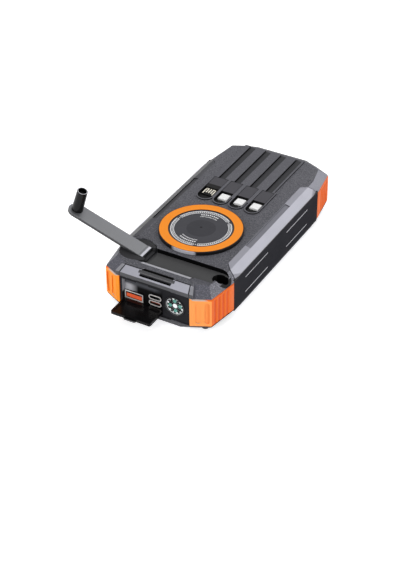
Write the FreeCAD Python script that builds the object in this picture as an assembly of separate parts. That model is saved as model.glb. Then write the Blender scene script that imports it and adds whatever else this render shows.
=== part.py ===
import FreeCAD
import Part
import math
import os
from FreeCAD import Vector, Rotation, Placement

# A pocket power bank with a hand crank. All lengths are millimetres.
# X runs across the case, Y from the socket end (-Y) to the torch end (+Y), Z up.
# The origin is the middle of the underside, where the solar panel looks down.

# --- case ---
case_length = 178.0
case_width = 85.0
case_height = 34.0
wall = 2.8
skin = 2.2               # of the flat top and underside
fit_gap = 0.3            # between a moving piece and what it passes
seat_gap = 0.05          # round a pin or boss in its hole

# plan corners, measured back from the ends and sides
end_half = 28.5          # half width of each flat end
corner_in_x = 3.3        # middle corner point, in from the side
corner_in_y = 5.2        # middle corner point, back from the end
side_start = 25.8        # where the straight side begins, back from the end

# shoulders along the sides and slopes at the ends
shoulder_in = 9.3        # top face edge, in from the side
shoulder_mid_in = 5.4    # bend between the two shoulder facets, in from the side
shoulder_mid_drop = 1.0
shoulder_drop = 4.4
front_slope_in = 5.1
rear_slope_in = 7.0
slope_drop = 3.1
pad_drop = 6.4           # grained corner slopes
end_pad_run = 7.8
side_pad_run = 6.2
cap_taper = 2.8          # the front's raised middle is this much narrower at its rear
cap_back = 6.9           # and runs this far back from the end

# --- corner bumpers, rails, panels ---
bumper_thick = 1.6
bumper_end_reach = 25.9  # half distance between the bumpers on an end
bumper_side_reach = 28.5 # how far a bumper runs along the side
bumper_bevel = 0.8
arch_places = (0.27, 0.76)   # shares of the end facet
arch_width = 3.2
arch_inset = 2.6
arch_depth = 0.5
flute_count = 4
flute_r = 2.6
flute_depth = 0.7
flute_inset = 1.6
seam = 0.3               # dark line between outer pieces
rail_end_gap = 0.7
rail_thick = 1.2
rail_half = 55.5
rail_foot_half = 59.0
rail_top_half = 51.0
rail_pocket_half = 28.2
rail_pocket_depth = 0.5
rail_pocket_edge = 0.6   # of the rail left above its step
rail_lip = 0.8           # of the rail below the outer shoulder facet
panel_thick = 1.8
groove_depth = 0.6
groove_height = 0.9
groove_apart = 11.6
groove_near = 13.2      # from the middle of the side
groove_far = 45.0
groove_down = 0.4        # middle of the pair, below the middle of the panel
trim_thick = 1.2
trim_end_gap = 0.5       # beside the bumpers
trim_lip = 2.6
trim_taper = 1.5         # of the upper front strip, from the end to the top face
trim_frame_gap = 0.4     # between that strip and the frames beside it
window_gap = 0.3

# --- socket end ---
plate_set_back = 0.6
plate_thick = 4.8
bay_depth = 3.6
bay_jamb = 1.3           # plate left of the bay
bay_post = 2.0           # plate between the bay and the compass
bay_sill = 1.4
bay_head = 2.2
cover_thick = 2.0
cover_round = 1.2
cover_hollow = 0.6
cover_hollow_in = 1.4
cover_axis_back = 1.8    # hinge axis behind the end face
cover_axis_up = 1.4      # hinge axis above the bay's sill
cover_tab_width = 8.6
cover_tab_reach = 1.5
cover_pin_r = 0.6
cover_pin_end = 1.1      # pin held in the plate beyond the bay
usb_a_x = -16.9
usb_a_up = 5.2           # middle of the socket above the sill
usb_a_width = 13.1
usb_a_height = 5.6
usb_a_depth = 13.0
usb_c_x = -1.1
usb_c_up = 4.8
usb_c_pitch = 4.5
usb_c_width = 8.94
usb_c_height = 3.26
usb_c_depth = 7.4
socket_wall = 0.35
tongue_thick = 2.4
tongue_up = 0.9
tongue_back = 0.6
tongue_side_gap = 0.3
usb_c_tongue_half = 3.3
usb_c_tongue_thick = 0.7
usb_c_tongue_back = 0.8
socket_proud = 1.2
socket_round = 0.5
compass_x = 14.9
compass_up = 0.4         # above the middle of the case
compass_r = 7.0
compass_depth = 5.0
compass_proud = 0.5
compass_wall = 0.7
compass_floor = 0.8
dial_thick = 0.5
needle_half_width = 0.9
needle_thick = 0.3
needle_rise = 0.4        # above the dial
needle_turn = 35.0
pivot_r = 0.5
glass_rise = 0.9
glass_deep = 0.6
bar_half = 11.6
bar_r = 1.7
bar_back = 4.5           # bar axis behind the end face
bar_drop = 1.9
bar_seat = 1.5           # of the bar held in the shell at each end
notch_front = 0.7        # of the strip left before the pocket
notch_back = 7.2
notch_drop = 5.2
notch_round = 1.2
notch_wall = 1.2

# --- torch end ---
torch_x = 12.4
torch_r = 6.9
torch_depth = 9.0
torch_rim = 1.0
torch_rim_proud = 0.5
reflector_proud = 0.2
reflector_wall = 0.5
reflector_steps = 7
lens_thick = 1.1
lens_proud = 0.1
lens_eye_r = 2.6
lens_eye_ball = 5.0
lens_eye_rise = 0.7
led_size = 2.0
led_thick = 0.8
warning_r = 2.3
warning_proud = 0.4

# --- wireless pad ---
pad_behind_crank = 37.5  # from the turntable's centre
pad_r = 28.3
pad_height = 2.5
pad_sunk = 0.4
pad_round = 0.4
pad_rim = 0.5
ring_width = 6.3
ring_thick = 0.8
ring_proud = 0.1
disc_drop = 0.3
dome_r = 9.8
dome_height = 0.8
coil_outer = 20.0
coil_inner = 10.0
coil_thick = 1.2
magnet_count = 16
magnet_inner = 22.4
magnet_outer = 26.6
magnet_thick = 1.8
magnet_gap = 0.8

# --- built-in leads ---
deck_height = 0.8
deck_sunk = 0.6
deck_side = 1.4          # of the deck right of the last channel
lane_pitch = 12.1
lane_count = 4
lane_first = -18.8
lane_width = 5.0
lane_depth = 2.4
usb_a_pocket = 10.8
small_pocket = 9.4
pocket_rim = 1.0
pocket_gap = 0.3
pocket_behind_pad = 5.7
pocket_length = 28.4
pocket_depth = 4.6
pocket_floor = 1.2
patch_back = 14.6        # where the cover patch starts, behind the pocket's front
patch_thick = 1.5
patch_drop = 0.1
lead_thick = 1.2
head_thick = 2.4
neck_half = 3.5
neck_length = 5.0
tip_width = 6.8
tip_length = 6.2
tip_thick = 1.4
tip_back = 6.5
tip_round = 0.6
plug_back = 7.0
plug_side = 1.0
plug_thick = 0.8
contact_count = 4
contact_pitch = 2.05
contact_width = 1.0
contact_thick = 0.2

# --- crank ---
turn_in = 16.7           # turntable's centre, in from the left side
turn_back = 23.9         # and back from the socket end
turn_r = 12.1
turn_thick = 3.9
turn_drop = 0.4
turn_chord = 9.2         # flat edge of the turntable, from its centre
hinge_out = 5.7          # hinge axis from the turntable's centre
hinge_drop = 1.5         # hinge axis below the top face
arm_thick = 2.2
arm_width = 11.9
knob_in = 8.2            # folded knob's axis, in from the right side
arm_rise = 17.5          # degrees above level when swung out
arm_pin_r = 0.6
knuckle_r = 1.25
slot_drop = 3.2
arm_slot_gap = 0.35      # beside the folded arm
slot_front_reach = 11.3  # of the trough, forward of the arm's middle
slot_lip_before = 14.1   # where the trough ends, left of the knob's axis
ramp_foot_reach = 6.5
ramp_top_reach = 13.9
slot_floor_thick = 1.6
seat_edge = 8.0          # floor carried on beyond the knob's axis
knob_length = 16.6
knob_base_r = 3.9
knob_tip_r = 3.55
knob_tip_round = 0.3
knob_bore_r = 1.25
knob_gap = 0.2           # above the arm
knob_cup_r = 2.9
knob_cup_deep = 3.3
stud_r = 1.2
stud_head_r = 2.0
stud_head_thick = 0.9
well_r = 4.7
well_wall = 1.2
well_clear = 0.5         # under the folded knob
well_swing = 2.3
well_swing_r = 4.0
well_swing_up = 4.6
cup_wall = 1.8
hub_r = 4.0
spigot_in = 1.0
spigot_half = 2.2
notch_side_gap = 0.25
notch_under_gap = 0.25
notch_heel = 0.5
pin_short = 0.8          # of the turntable's edge
arm_groove_back = 2.0
arm_groove_width = 0.4
arm_groove_deep = 0.35
arm_bevel = 0.3
crank_screw_r = 1.0
crank_screw_head_r = 2.6
crank_screw_head = 1.4
crank_screw_length = 3.8
crank_screw_slot = 0.6
crank_screw_slot_deep = 0.5

# --- gear train ---
gear_module = 0.5
pressure_angle = 25.0
drive_teeth = 48
pinion_teeth = 12
wheel_teeth = 42
gear_backlash = 0.12
tooth_addendum = 0.9     # in modules
tooth_dedendum = 1.15
hub_drop = 3.3           # from the turntable down to the large gear
drive_thick = 3.0
drive_hole_r = 1.9
drive_hole_ring = 7.2
drive_hole_count = 6
wheel_thick = 2.4
wheel_below = 1.0        # between the large gear and the idler's wheel
plate_below = 0.4        # between the idler's wheel and the carrier plate
gear_plate_thick = 1.2
idler_angle = 20.0
rotor_angle = 25.0
axle_r = 1.0
axle_boss_r = 2.4
axle_top_gap = 0.4
can_r = 11.0
can_clear = 1.0          # between the generator and the floor
can_wall = 1.2
rotor_r = 5.6
rotor_gap = 1.2
coil_air = 0.6
coil_half = 2.6
coil_count = 6
post_r = 1.8
post_pad = 1.4           # of the carrier plate round a post
post_angles = (98.0, -2.0, -46.0)
post_gaps = (4.4, 11.7, 6.3)     # from the pitch circle that each is set out from

# --- solar side ---
solar_side = 11.3        # panel's edge, in from the side
solar_end = 14.0         # and from the ends
solar_seat_gap = 0.1
solar_layer_gap = 0.02
cell_border = 1.4
solar_round = 5.0
solar_border = 2.2
solar_depth = 2.6
glass_thick = 0.6
cell_thick = 0.5
cell_rows = 13
cell_gap = 0.7
floor_thick = 1.8

# --- inside ---
board_thick = 1.2
board_depth = 11.8
board_gap = 0.2          # behind the socket plate
board_left_gap = 0.8
board_right_gap = 1.4
board_leg_r = 2.0
board_leg_in = 3.0
chip_size = 5.0
chip_height = 2.2
chip_count = 3
chip_pitch = 6.0
battery_side_gap = 1.2
battery_front_gap = 3.3
battery_rear_gap = 4.1
battery_top_gap = 2.4
battery_round = 2.0
battery_skin = 0.1
battery_count = 3
screw_r = 1.3
screw_head_r = 2.4
screw_head_low = 2.8
screw_seat_z = 4.6
screw_clear = 0.2
screw_boss_r = 3.2
screw_short = 1.0
cross_reach = 1.5
cross_half = 0.3
cross_deep = 0.8
rail_screw_in = 4.1
rail_screw_y = 27.0
corner_screw_in = 9.5
corner_screw_back = 8.0

# --- button on the left side ---
button_y = 0.0
button_length = 13.0
button_height = 6.0
button_travel = 0.8
collar_rim = 1.0
collar_thick = 1.0
light_first = 9.0        # from the button's end
light_count = 4
light_pitch = 5.0
light_r = 0.9
light_proud = 0.1

# --- what follows from these ---
half_length = case_length / 2
half_width = case_width / 2
top_z = case_height
parting_z = case_height / 2
front_y = -half_length
rear_y = half_length
floor_z = solar_depth + floor_thick

panel_low = shoulder_drop + rail_lip
panel_high = top_z - panel_low
panel_half = half_length - bumper_side_reach - seam
trim_low_z = slope_drop + trim_lip
trim_high_z = top_z - trim_low_z
trim_half = bumper_end_reach - trim_end_gap
plate_half = bumper_end_reach - window_gap

plate_y = front_y + plate_set_back
plate_back_y = plate_y + plate_thick
bay_floor_y = plate_y + bay_depth
socket_y = bay_floor_y - socket_proud
bay_left = bay_jamb - plate_half
bay_right = compass_x - compass_r - bay_post
bay_low = trim_low_z + window_gap + bay_sill
bay_high = trim_high_z - window_gap - bay_head
cover_axis_y = front_y + cover_axis_back
cover_axis_z = bay_low + cover_axis_up
cover_tab_x = (bay_left + bay_right) / 2
usb_a_z = bay_low + usb_a_up
usb_c_lower_z = bay_low + usb_c_up
usb_c_upper_z = usb_c_lower_z + usb_c_pitch
compass_z = parting_z + compass_up
compass_y = plate_y - compass_proud
torch_y = rear_y - plate_set_back

turn_x = turn_in - half_width
turn_y = front_y + turn_back
disc_top = top_z - turn_drop
disc_low = disc_top - turn_thick
hinge_x = turn_x + hinge_out
hinge_z = top_z - hinge_drop
knob_hole_x = half_width - knob_in
arm_reach = knob_hole_x - hinge_x
arm_end_x = hinge_x - arm_reach
slot_z = top_z - slot_drop
slot_back = turn_y + arm_width / 2 + arm_slot_gap
slot_front = turn_y - slot_front_reach
slot_lip_right = knob_hole_x - slot_lip_before
well_low = hinge_z - arm_thick / 2 - knob_length - well_clear

drive_low = disc_low - hub_drop - drive_thick
drive_high = drive_low + drive_thick
wheel_high = drive_low - wheel_below
wheel_low = wheel_high - wheel_thick
plate_high = wheel_low - plate_below
plate_low = plate_high - gear_plate_thick
can_low = floor_z + can_clear
axle_top = slot_z - slot_floor_thick - axle_top_gap
drive_pitch_r = gear_module * drive_teeth / 2
wheel_pitch_r = gear_module * wheel_teeth / 2
pinion_pitch_r = gear_module * pinion_teeth / 2
idler_x = turn_x + (drive_pitch_r + pinion_pitch_r) * math.cos(math.radians(idler_angle))
idler_y = turn_y + (drive_pitch_r + pinion_pitch_r) * math.sin(math.radians(idler_angle))
rotor_x = idler_x + (wheel_pitch_r + pinion_pitch_r) * math.cos(math.radians(rotor_angle))
rotor_y = idler_y + (wheel_pitch_r + pinion_pitch_r) * math.sin(math.radians(rotor_angle))

pad_y = turn_y + pad_behind_crank
pad_top = top_z + pad_height
ring_outer = pad_r - pad_rim
ring_inner = ring_outer - ring_width
deck_top = top_z + deck_height
deck_end = rear_y - rear_slope_in
pocket_front = pad_y + pad_r + pocket_behind_pad
lane_start = pocket_front + pocket_length
patch_start = pocket_front + patch_back
lane_xs = [lane_first + i * lane_pitch for i in range(lane_count)]
pocket_low = deck_top - pocket_depth
lane_low = deck_top - lane_depth

solar_half_x = half_width - solar_side
solar_half_y = half_length - solar_end
rail_screw_x = half_width - rail_screw_in
corner_screw_x = half_width - corner_screw_in
corner_screw_y = half_length - corner_screw_back
battery_half = rail_screw_x - screw_boss_r - battery_side_gap
battery_front = rotor_y + can_r + battery_front_gap
battery_rear = torch_y - torch_depth - battery_rear_gap
battery_height = (pocket_low - pocket_floor - battery_top_gap - floor_z) / battery_count
button_z = parting_z
button_in_x = panel_thick + wall - half_width     # behind the wall at the button


# ---------------------------------------------------------------- helpers
def box(x0, x1, y0, y1, z0, z1):
    return Part.makeBox(x1 - x0, y1 - y0, z1 - z0, Vector(x0, y0, z0))


def cyl(x, y, z0, z1, r):
    return Part.makeCylinder(r, z1 - z0, Vector(x, y, z0))


def cyl_y(x, z, y0, y1, r):
    return Part.makeCylinder(r, y1 - y0, Vector(x, y0, z), Vector(0, 1, 0))


def cyl_x(y, z, x0, x1, r):
    return Part.makeCylinder(r, x1 - x0, Vector(x0, y, z), Vector(1, 0, 0))


def prism_z(points, z0, z1):
    wire = Part.makePolygon([Vector(x, y, z0) for x, y in points + points[:1]])
    return Part.Face(wire).extrude(Vector(0, 0, z1 - z0))


def prism_x(points, x0, x1):
    wire = Part.makePolygon([Vector(x0, y, z) for y, z in points + points[:1]])
    return Part.Face(wire).extrude(Vector(x1 - x0, 0, 0))


def prism_y(points, y0, y1):
    wire = Part.makePolygon([Vector(x, y0, z) for x, z in points + points[:1]])
    return Part.Face(wire).extrude(Vector(0, y1 - y0, 0))


def revolve_z(points, x, y):
    wire = Part.makePolygon([Vector(r, 0, z) for r, z in points + points[:1]])
    solid = Part.Face(wire).revolve(Vector(0, 0, 0), Vector(0, 0, 1), 360)
    solid.translate(Vector(x, y, 0))
    return solid


def revolve_y(points, x, z):
    wire = Part.makePolygon([Vector(r, y, 0) for r, y in points + points[:1]])
    solid = Part.Face(wire).revolve(Vector(0, 0, 0), Vector(0, 1, 0), 360)
    solid.translate(Vector(x, 0, z))
    return solid


def fuse(shapes):
    return shapes[0].multiFuse(shapes[1:]).removeSplitter()


def round_edges(shape, r, keep):
    edges = [e for e in shape.Edges if keep(e)]
    return shape.makeFillet(r, edges) if edges else shape


def runs_along(edge, axis):
    a, b = edge.Vertexes[0].Point, edge.Vertexes[-1].Point
    d = b - a
    return d.Length > 1e-6 and abs(d.dot(axis)) / d.Length > 0.999


def rounded_box(x0, x1, y0, y1, z0, z1, r, axis=Vector(0, 0, 1)):
    return round_edges(box(x0, x1, y0, y1, z0, z1), r, lambda e: runs_along(e, axis))


def turned(shape, centre, axis, degrees):
    moved = shape.copy()
    moved.rotate(centre, axis, degrees)
    return moved


# ---------------------------------------------------------------- case form
def plan_corner():
    """One quarter of the twelve-sided plan, as seen from above."""
    return [
        (end_half, half_length),
        (half_width - corner_in_x, half_length - corner_in_y),
        (half_width, half_length - side_start),
    ]


def front_cap(inset):
    """The raised middle of the front's upper edge, which the corner slopes stop against."""
    near = end_half - inset
    far = near - cap_taper
    back = front_y + cap_back
    plan = [(-near, front_y), (near, front_y), (far, back), (-far, back)]
    return prism_z(plan, parting_z, top_z + 1)


def case_planes():
    """Every flat of the case as an outward normal and its distance from the middle."""
    planes = [(Vector(0, 0, 1), top_z), (Vector(0, 0, -1), 0.0)]
    planes += [(Vector(s, 0, 0), half_width) for s in (1, -1)]
    planes += [(Vector(0, s, 0), half_length) for s in (1, -1)]
    end, middle, side = plan_corner()
    for sx in (1, -1):
        for sy in (1, -1):
            for (ax, ay), (bx, by), run in ((end, middle, end_pad_run), (middle, side, side_pad_run)):
                out = Vector(sx * (ay - by), sy * (bx - ax), 0).normalize()
                reach = out.dot(Vector(sx * ax, sy * ay, 0))
                planes.append((out, reach))
                tilt = Vector(out.x * pad_drop, out.y * pad_drop, run).normalize()
                edge = out * reach + Vector(0, 0, top_z - pad_drop)
                planes.append((tilt, tilt.dot(edge)))
                low = Vector(tilt.x, tilt.y, -tilt.z)
                planes.append((low, low.dot(out * reach + Vector(0, 0, pad_drop))))
    bend = (half_width - shoulder_mid_in, shoulder_mid_drop)
    for sx in (1, -1):
        for (x0, d0), (x1, d1) in (
            ((half_width - shoulder_in, 0.0), bend),
            (bend, (half_width, shoulder_drop)),
        ):
            up = Vector(sx * (d1 - d0), 0, x1 - x0).normalize()
            planes.append((up, up.dot(Vector(sx * x0, 0, top_z - d0))))
            low = Vector(up.x, 0, -up.z)
            planes.append((low, low.dot(Vector(sx * x0, 0, d0))))
    for sy, inset in ((-1, front_slope_in), (1, rear_slope_in)):
        up = Vector(0, sy * slope_drop, inset).normalize()
        planes.append((up, up.dot(Vector(0, sy * half_length, top_z - slope_drop))))
        low_in = front_slope_in
        low = Vector(0, sy * slope_drop, -low_in).normalize()
        planes.append((low, low.dot(Vector(0, sy * half_length, slope_drop))))
    return planes


def case_block(inset, level=None):
    """The whole case as one block, its flats moved in by inset, the top and underside by level."""
    big = 2 * case_length
    block = box(-half_width, half_width, front_y, rear_y, 0, top_z)
    for out, reach in case_planes():
        in_by = level if level is not None and abs(out.z) > 0.999 else inset
        tool = Part.makeBox(big, big, big, Vector(-big / 2, -big / 2, 0))
        turn = Rotation(Vector(0, 0, 1), out)
        tool.Placement = Placement(out * (reach - in_by), turn)
        end_pad = 0.01 < out.z < 0.99 and 0 < abs(out.x) < -out.y
        if end_pad:
            tool = tool.cut(front_cap(inset))
        block = block.cut(tool)
    return block


outer = case_block(0.0)
behind_bumper = case_block(bumper_thick)
behind_rail = case_block(rail_thick)
inner = case_block(wall, skin)
behind_trim = case_block(trim_thick)
rooted = case_block(wall / 2 + 0.6, skin / 2)


def bumper_zone(sx, sy, grow=0.0):
    """The stretch of a corner that a bumper covers, from the end round to the side."""
    low = pad_drop - grow
    high = top_z - pad_drop + grow
    xs = sorted((sx * (bumper_end_reach - grow), sx * (half_width + 1)))
    ys = sorted((sy * (half_length - bumper_side_reach - grow), sy * (half_length + 1)))
    return box(xs[0], xs[1], ys[0], ys[1], low, high)


def facet_frame(sx, sy, start, stop):
    """A frame on a corner facet: X outwards, Y along the facet from start, Z up."""
    along = Vector(sx * (stop[0] - start[0]), sy * (stop[1] - start[1]), 0)
    out = Vector(sx * (start[1] - stop[1]), sy * (stop[0] - start[0]), 0).normalize()
    angle = math.degrees(math.atan2(out.y, out.x))
    way = 1 if Vector(-out.y, out.x, 0).dot(along) > 0 else -1
    frame = Placement(Vector(sx * start[0], sy * start[1], 0), Rotation(Vector(0, 0, 1), angle))
    return frame, way, along.Length


def placed(shape, frame):
    moved = shape.copy()
    moved.Placement = frame * moved.Placement
    return moved


def arched_recess(centre, low, high):
    """A shallow upright slot with round ends, cut inwards from the facet."""
    r = arch_width / 2
    return fuse([
        box(-arch_depth, 1, centre - r, centre + r, low + r, high - r),
        cyl_x(centre, low + r, -arch_depth, 1, r),
        cyl_x(centre, high - r, -arch_depth, 1, r),
    ])


def flute(centre, low, high):
    return cyl(flute_r - flute_depth, centre, low, high, flute_r)


def bumper(sx, sy):
    """A soft corner: bevelled rims, two arched recesses on the end facet, flutes on the side facet."""
    shell = outer.common(bumper_zone(sx, sy)).cut(behind_bumper)
    shell = max(shell.Solids, key=lambda s: s.Volume)
    end, middle, side = plan_corner()
    low = pad_drop
    high = top_z - pad_drop
    tools = []
    frame, way, length = facet_frame(sx, sy, end, middle)
    for share in arch_places:
        tool = arched_recess(way * share * length, low + arch_inset, high - arch_inset)
        tools.append(placed(tool, frame))
    frame, way, length = facet_frame(sx, sy, middle, side)
    for i in range(flute_count):
        centre = way * length * (i + 1) / (flute_count + 1)
        tools.append(placed(flute(centre, low - 1, high - flute_inset), frame))
    for start, stop in ((end, middle), (middle, side)):
        frame, way, length = facet_frame(sx, sy, start, stop)
        for z, up in ((low, 1), (high, -1)):
            tools.append(placed(rim_bevel(z, up, length), frame))
    return shell.cut(tools)


def rim_bevel(z, up, length):
    """What the bevel takes off a bumper's rim, well past both ends of its facet."""
    section = [
        (-bumper_bevel, z - up),
        (1, z - up),
        (1, z + up * bumper_bevel),
        (0, z + up * bumper_bevel),
        (-bumper_bevel, z),
    ]
    return prism_y(section, -length, 2 * length)


def rail_zone(sx, high, grow=0.0):
    """Plan of a side rail: long on the outer facet, shorter and slanted on the inner one."""
    inner_x = half_width - shoulder_in
    bend_x = half_width - shoulder_mid_in
    end, slant, foot = rail_top_half + grow, rail_half + grow, rail_foot_half + grow
    plan = [
        (sx * inner_x, -end),
        (sx * bend_x, -slant),
        (sx * (half_width + 1), -foot),
        (sx * (half_width + 1), foot),
        (sx * bend_x, slant),
        (sx * inner_x, end),
    ]
    if high:
        return prism_z(plan, panel_high, top_z + 1)
    return prism_z(plan, -1, panel_low)


def rails(high):
    """The metal-look strips over the shoulders, with a shallow step along the middle of the inner facet."""
    out = []
    for sx in (-1, 1):
        strip = outer.common(rail_zone(sx, high)).cut(behind_rail)
        bend_x = half_width - shoulder_mid_in
        xs = sorted((sx * (half_width - shoulder_in + rail_pocket_edge), sx * bend_x))
        step = box(xs[0], xs[1], -rail_pocket_half, rail_pocket_half, -1, top_z + 1)
        strip = strip.cut(step.common(outer.cut(stepped_core)))
        if not high:
            strip = strip.cut(screw_head_holes())
        out.append(max(strip.Solids, key=lambda s: s.Volume))
    return Part.makeCompound(out)


stepped_core = case_block(rail_pocket_depth)


def side_panel_zone(sx):
    xs = sorted((sx * (half_width - panel_thick), sx * (half_width + 1)))
    return box(xs[0], xs[1], -panel_half, panel_half, panel_low, panel_high)


def side_panel(sx):
    """A long cover with two pairs of shallow grooves."""
    panel = outer.common(side_panel_zone(sx))
    xs = sorted((sx * (half_width - groove_depth), sx * (half_width + 1)))
    tools = []
    mid = (panel_low + panel_high) / 2 - groove_down
    for z in (mid - groove_apart / 2, mid + groove_apart / 2):
        for start, end in ((-groove_far, -groove_near), (groove_near, groove_far)):
            tools.append(box(xs[0], xs[1], start, end, z - groove_height / 2, z + groove_height / 2))
    if sx < 0:
        tools.append(button_form(fit_gap, 1.0))
        x0 = -half_width - 1
        x1 = x0 + panel_thick + 2
        tools += [cyl_x(y, button_z, x0, x1, light_r + seat_gap) for y in light_ys()]
    return panel.cut(tools)


def button_form(gap, proud):
    """The oblong of the button from outside the case to behind its wall, larger by gap all round."""
    r = button_height / 2 + gap
    half = button_length / 2 + gap
    return rounded_box(
        -half_width - proud, button_in_x,
        button_y - half, button_y + half,
        button_z - r, button_z + r,
        r - 0.01, Vector(1, 0, 0),
    )


def light_ys():
    start = button_y - button_length / 2 - light_first
    return [start - i * light_pitch for i in range(light_count)]


def power_button():
    """An oblong button, as proud as it travels, with a collar behind the wall."""
    half = button_length / 2 + collar_rim
    high = button_height / 2 + collar_rim
    collar = box(
        button_in_x, button_in_x + collar_thick,
        button_y - half, button_y + half,
        button_z - high, button_z + high,
    )
    return button_form(0.0, button_travel).fuse(collar).removeSplitter()


def charge_lights():
    """Four small light guides beside the button."""
    x0 = -half_width - light_proud
    x1 = panel_thick - half_width
    return Part.makeCompound([cyl_x(y, button_z, x0, x1, light_r) for y in light_ys()])


def window_zone(sy):
    """The opening across each end between the bumpers, where the plate sits."""
    low = trim_low_z + window_gap
    high = trim_high_z - window_gap
    y0, y1 = sorted((sy * (half_length + 1), sy * (half_length - plate_set_back - plate_thick)))
    return box(-plate_half, plate_half, y0, y1, low, high)


def front_trim_zone():
    """Zones of the upper front strip and, beyond a dark gap, of the frame at each end of it."""
    near = trim_half
    far = near - trim_taper
    back = front_y + front_slope_in
    zones = [prism_z([(-near, front_y), (near, front_y), (far, back), (-far, back)], trim_high_z, top_z + 1)]
    for sx in (-1, 1):
        plan = [
            (sx * (near + trim_frame_gap), front_y),
            (sx * end_half, front_y),
            (sx * (end_half - cap_taper * front_slope_in / cap_back), back),
            (sx * (far + trim_frame_gap), back),
        ]
        zones.append(prism_z(plan, top_z - pad_drop + seam, top_z + 1))
    return Part.makeCompound(zones)


def trims(sy):
    """Bright strips over the end slopes, with a short lip down the end."""
    y0, y1 = sorted((sy * (half_length - front_slope_in), sy * (half_length + 1)))
    low = outer.common(box(-trim_half, trim_half, y0, y1, -1, trim_low_z)).cut(behind_trim)
    if sy < 0:
        high = outer.common(front_trim_zone()).cut([behind_trim, lanyard_notch(), lanyard_bar()])
    else:
        zone = box(-trim_half, trim_half, rear_y - rear_slope_in, rear_y + 1, trim_high_z, top_z + 1)
        high = outer.common(zone).cut([behind_trim, lane_cuts()])
    return Part.makeCompound(high.Solids + low.Solids)


def lanyard_notch():
    """The pocket behind the front edge that a wrist strap is looped through."""
    return rounded_box(
        -bar_half, bar_half, front_y + notch_front, front_y + notch_back,
        top_z - notch_drop, top_z + 1, notch_round,
    )


def lanyard_pocket():
    """Material round the strap's pocket, so that it is closed towards the inside."""
    half = bar_half + bar_seat + notch_wall
    back = front_y + notch_back + notch_wall
    return box(-half, half, front_y, back, top_z - notch_drop - notch_wall, top_z).common(rooted)


def lanyard_bar():
    end = bar_half + bar_seat
    return cyl_x(front_y + bar_back, top_z - bar_drop, -end, end, bar_r)


# ---------------------------------------------------------------- crank seat
def slot_cut():
    """The trough that the folded arm lies in, with a finger ramp and a round end about the knob."""
    trough = box(turn_x, slot_lip_right, slot_front, slot_back, slot_z, top_z + 3)
    profile = [
        (slot_back, slot_z),
        (turn_y - ramp_foot_reach, slot_z),
        (turn_y - ramp_top_reach, top_z),
        (turn_y - ramp_top_reach, top_z + 3),
        (slot_back, top_z + 3),
    ]
    ramp = prism_x(profile, slot_lip_right - 0.01, knob_hole_x)
    end = cyl(knob_hole_x, turn_y, slot_z, top_z + 3, slot_back - turn_y)
    return fuse([trough, ramp, end])


def swing_relief():
    """Where the folded arm passes the left shoulder when the crank is turned half round."""
    low = hinge_z - arm_thick / 2 - fit_gap
    half = arm_width / 2 + fit_gap
    return box(-half_width - 1, turn_x, turn_y - half, turn_y + half, low, top_z + 1)


def turn_recess():
    return cyl(turn_x, turn_y, disc_low - fit_gap, top_z + 1, turn_r + fit_gap)


def knob_well():
    """A deep hole for the knob, wider where the tip swings in."""
    main = cyl(knob_hole_x, turn_y, well_low, top_z + 1, well_r)
    swing = cyl(knob_hole_x + well_swing, turn_y, well_low + well_swing_up, top_z + 1, well_swing_r)
    return main.fuse(swing)


def crank_seat_block():
    """Material under the top face that carries the slot floor, the turntable and the knob well."""
    high = top_z - skin / 2
    edge = slot_floor_thick
    floor = box(turn_x, knob_hole_x + seat_edge, slot_front - edge, slot_back + edge, slot_z - edge, high)
    cup_low = disc_low - fit_gap - cup_wall
    cup = cyl(turn_x, turn_y, cup_low, high, turn_r + fit_gap + cup_wall)
    well = cyl(knob_hole_x, turn_y, well_low - well_wall, high, well_r + well_wall)
    boss = cyl(idler_x, idler_y, drive_high + axle_top_gap, high, axle_boss_r)
    return fuse([floor, cup, well, boss]).common(rooted)


def shell_common_cuts():
    """What both halves of the case give way to round the outside."""
    tools = [button_form(fit_gap, 1.0)]
    for sx in (-1, 1):
        tools.append(side_panel_zone(sx))
        for sy in (-1, 1):
            tools.append(outer.common(bumper_zone(sx, sy, seam)).cut(behind_bumper))
        for high in (True, False):
            tools.append(outer.common(rail_zone(sx, high, rail_end_gap)).cut(behind_rail))
    for sy in (-1, 1):
        tools += [trims(sy), window_zone(sy)]
    return tools


def top_shell():
    """The upper half of the case, open below, with the crank seat, the slot and the lead pockets."""
    half = box(-half_width, half_width, front_y, rear_y, parting_z, top_z + 1)
    shell = outer.common(half).cut(inner)
    shell = shell.fuse([crank_seat_block(), lead_pocket_block(), lanyard_pocket()])
    tools = shell_common_cuts()
    tools += [slot_cut(), swing_relief(), turn_recess(), knob_well(), lanyard_notch()]
    tools.append(deck_outline(top_z - deck_sunk, top_z + 1))
    tools += pocket_cuts() + [lane_cuts()]
    tools.append(cyl(turn_x, turn_y, drive_low, top_z, hub_r + seat_gap))
    tools.append(cyl(idler_x, idler_y, drive_low, axle_top + seat_gap, axle_r + seat_gap))
    tools.append(lanyard_bar())
    tools.append(cyl(0, pad_y, top_z - pad_sunk, top_z + 1, pad_r))
    shell = shell.cut(tools)
    return max(shell.Solids, key=lambda s: s.Volume)


def bottom_shell():
    """The lower half of the case with the seat for the solar panel and bosses for the screws."""
    half = box(-half_width, half_width, front_y, rear_y, -1, parting_z)
    shell = outer.common(half).cut(inner)
    x = solar_half_x + wall
    y = solar_half_y + wall
    floor = rounded_box(-x, x, -y, y, 0, floor_z, solar_round).common(rooted)
    bosses = [cyl(x, y, 0, parting_z, screw_boss_r).common(rooted) for x, y in case_screws()]
    shell = shell.fuse([floor] + bosses)
    tools = shell_common_cuts() + screw_head_holes()
    tools.append(solar_block(0.0, -1, solar_depth))
    for x, y in case_screws():
        tools.append(cyl(x, y, -1, parting_z + 1, screw_r + seat_gap))
    tools.append(knob_well_outside())
    shell = shell.cut(tools)
    return max(shell.Solids, key=lambda s: s.Volume)


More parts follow.
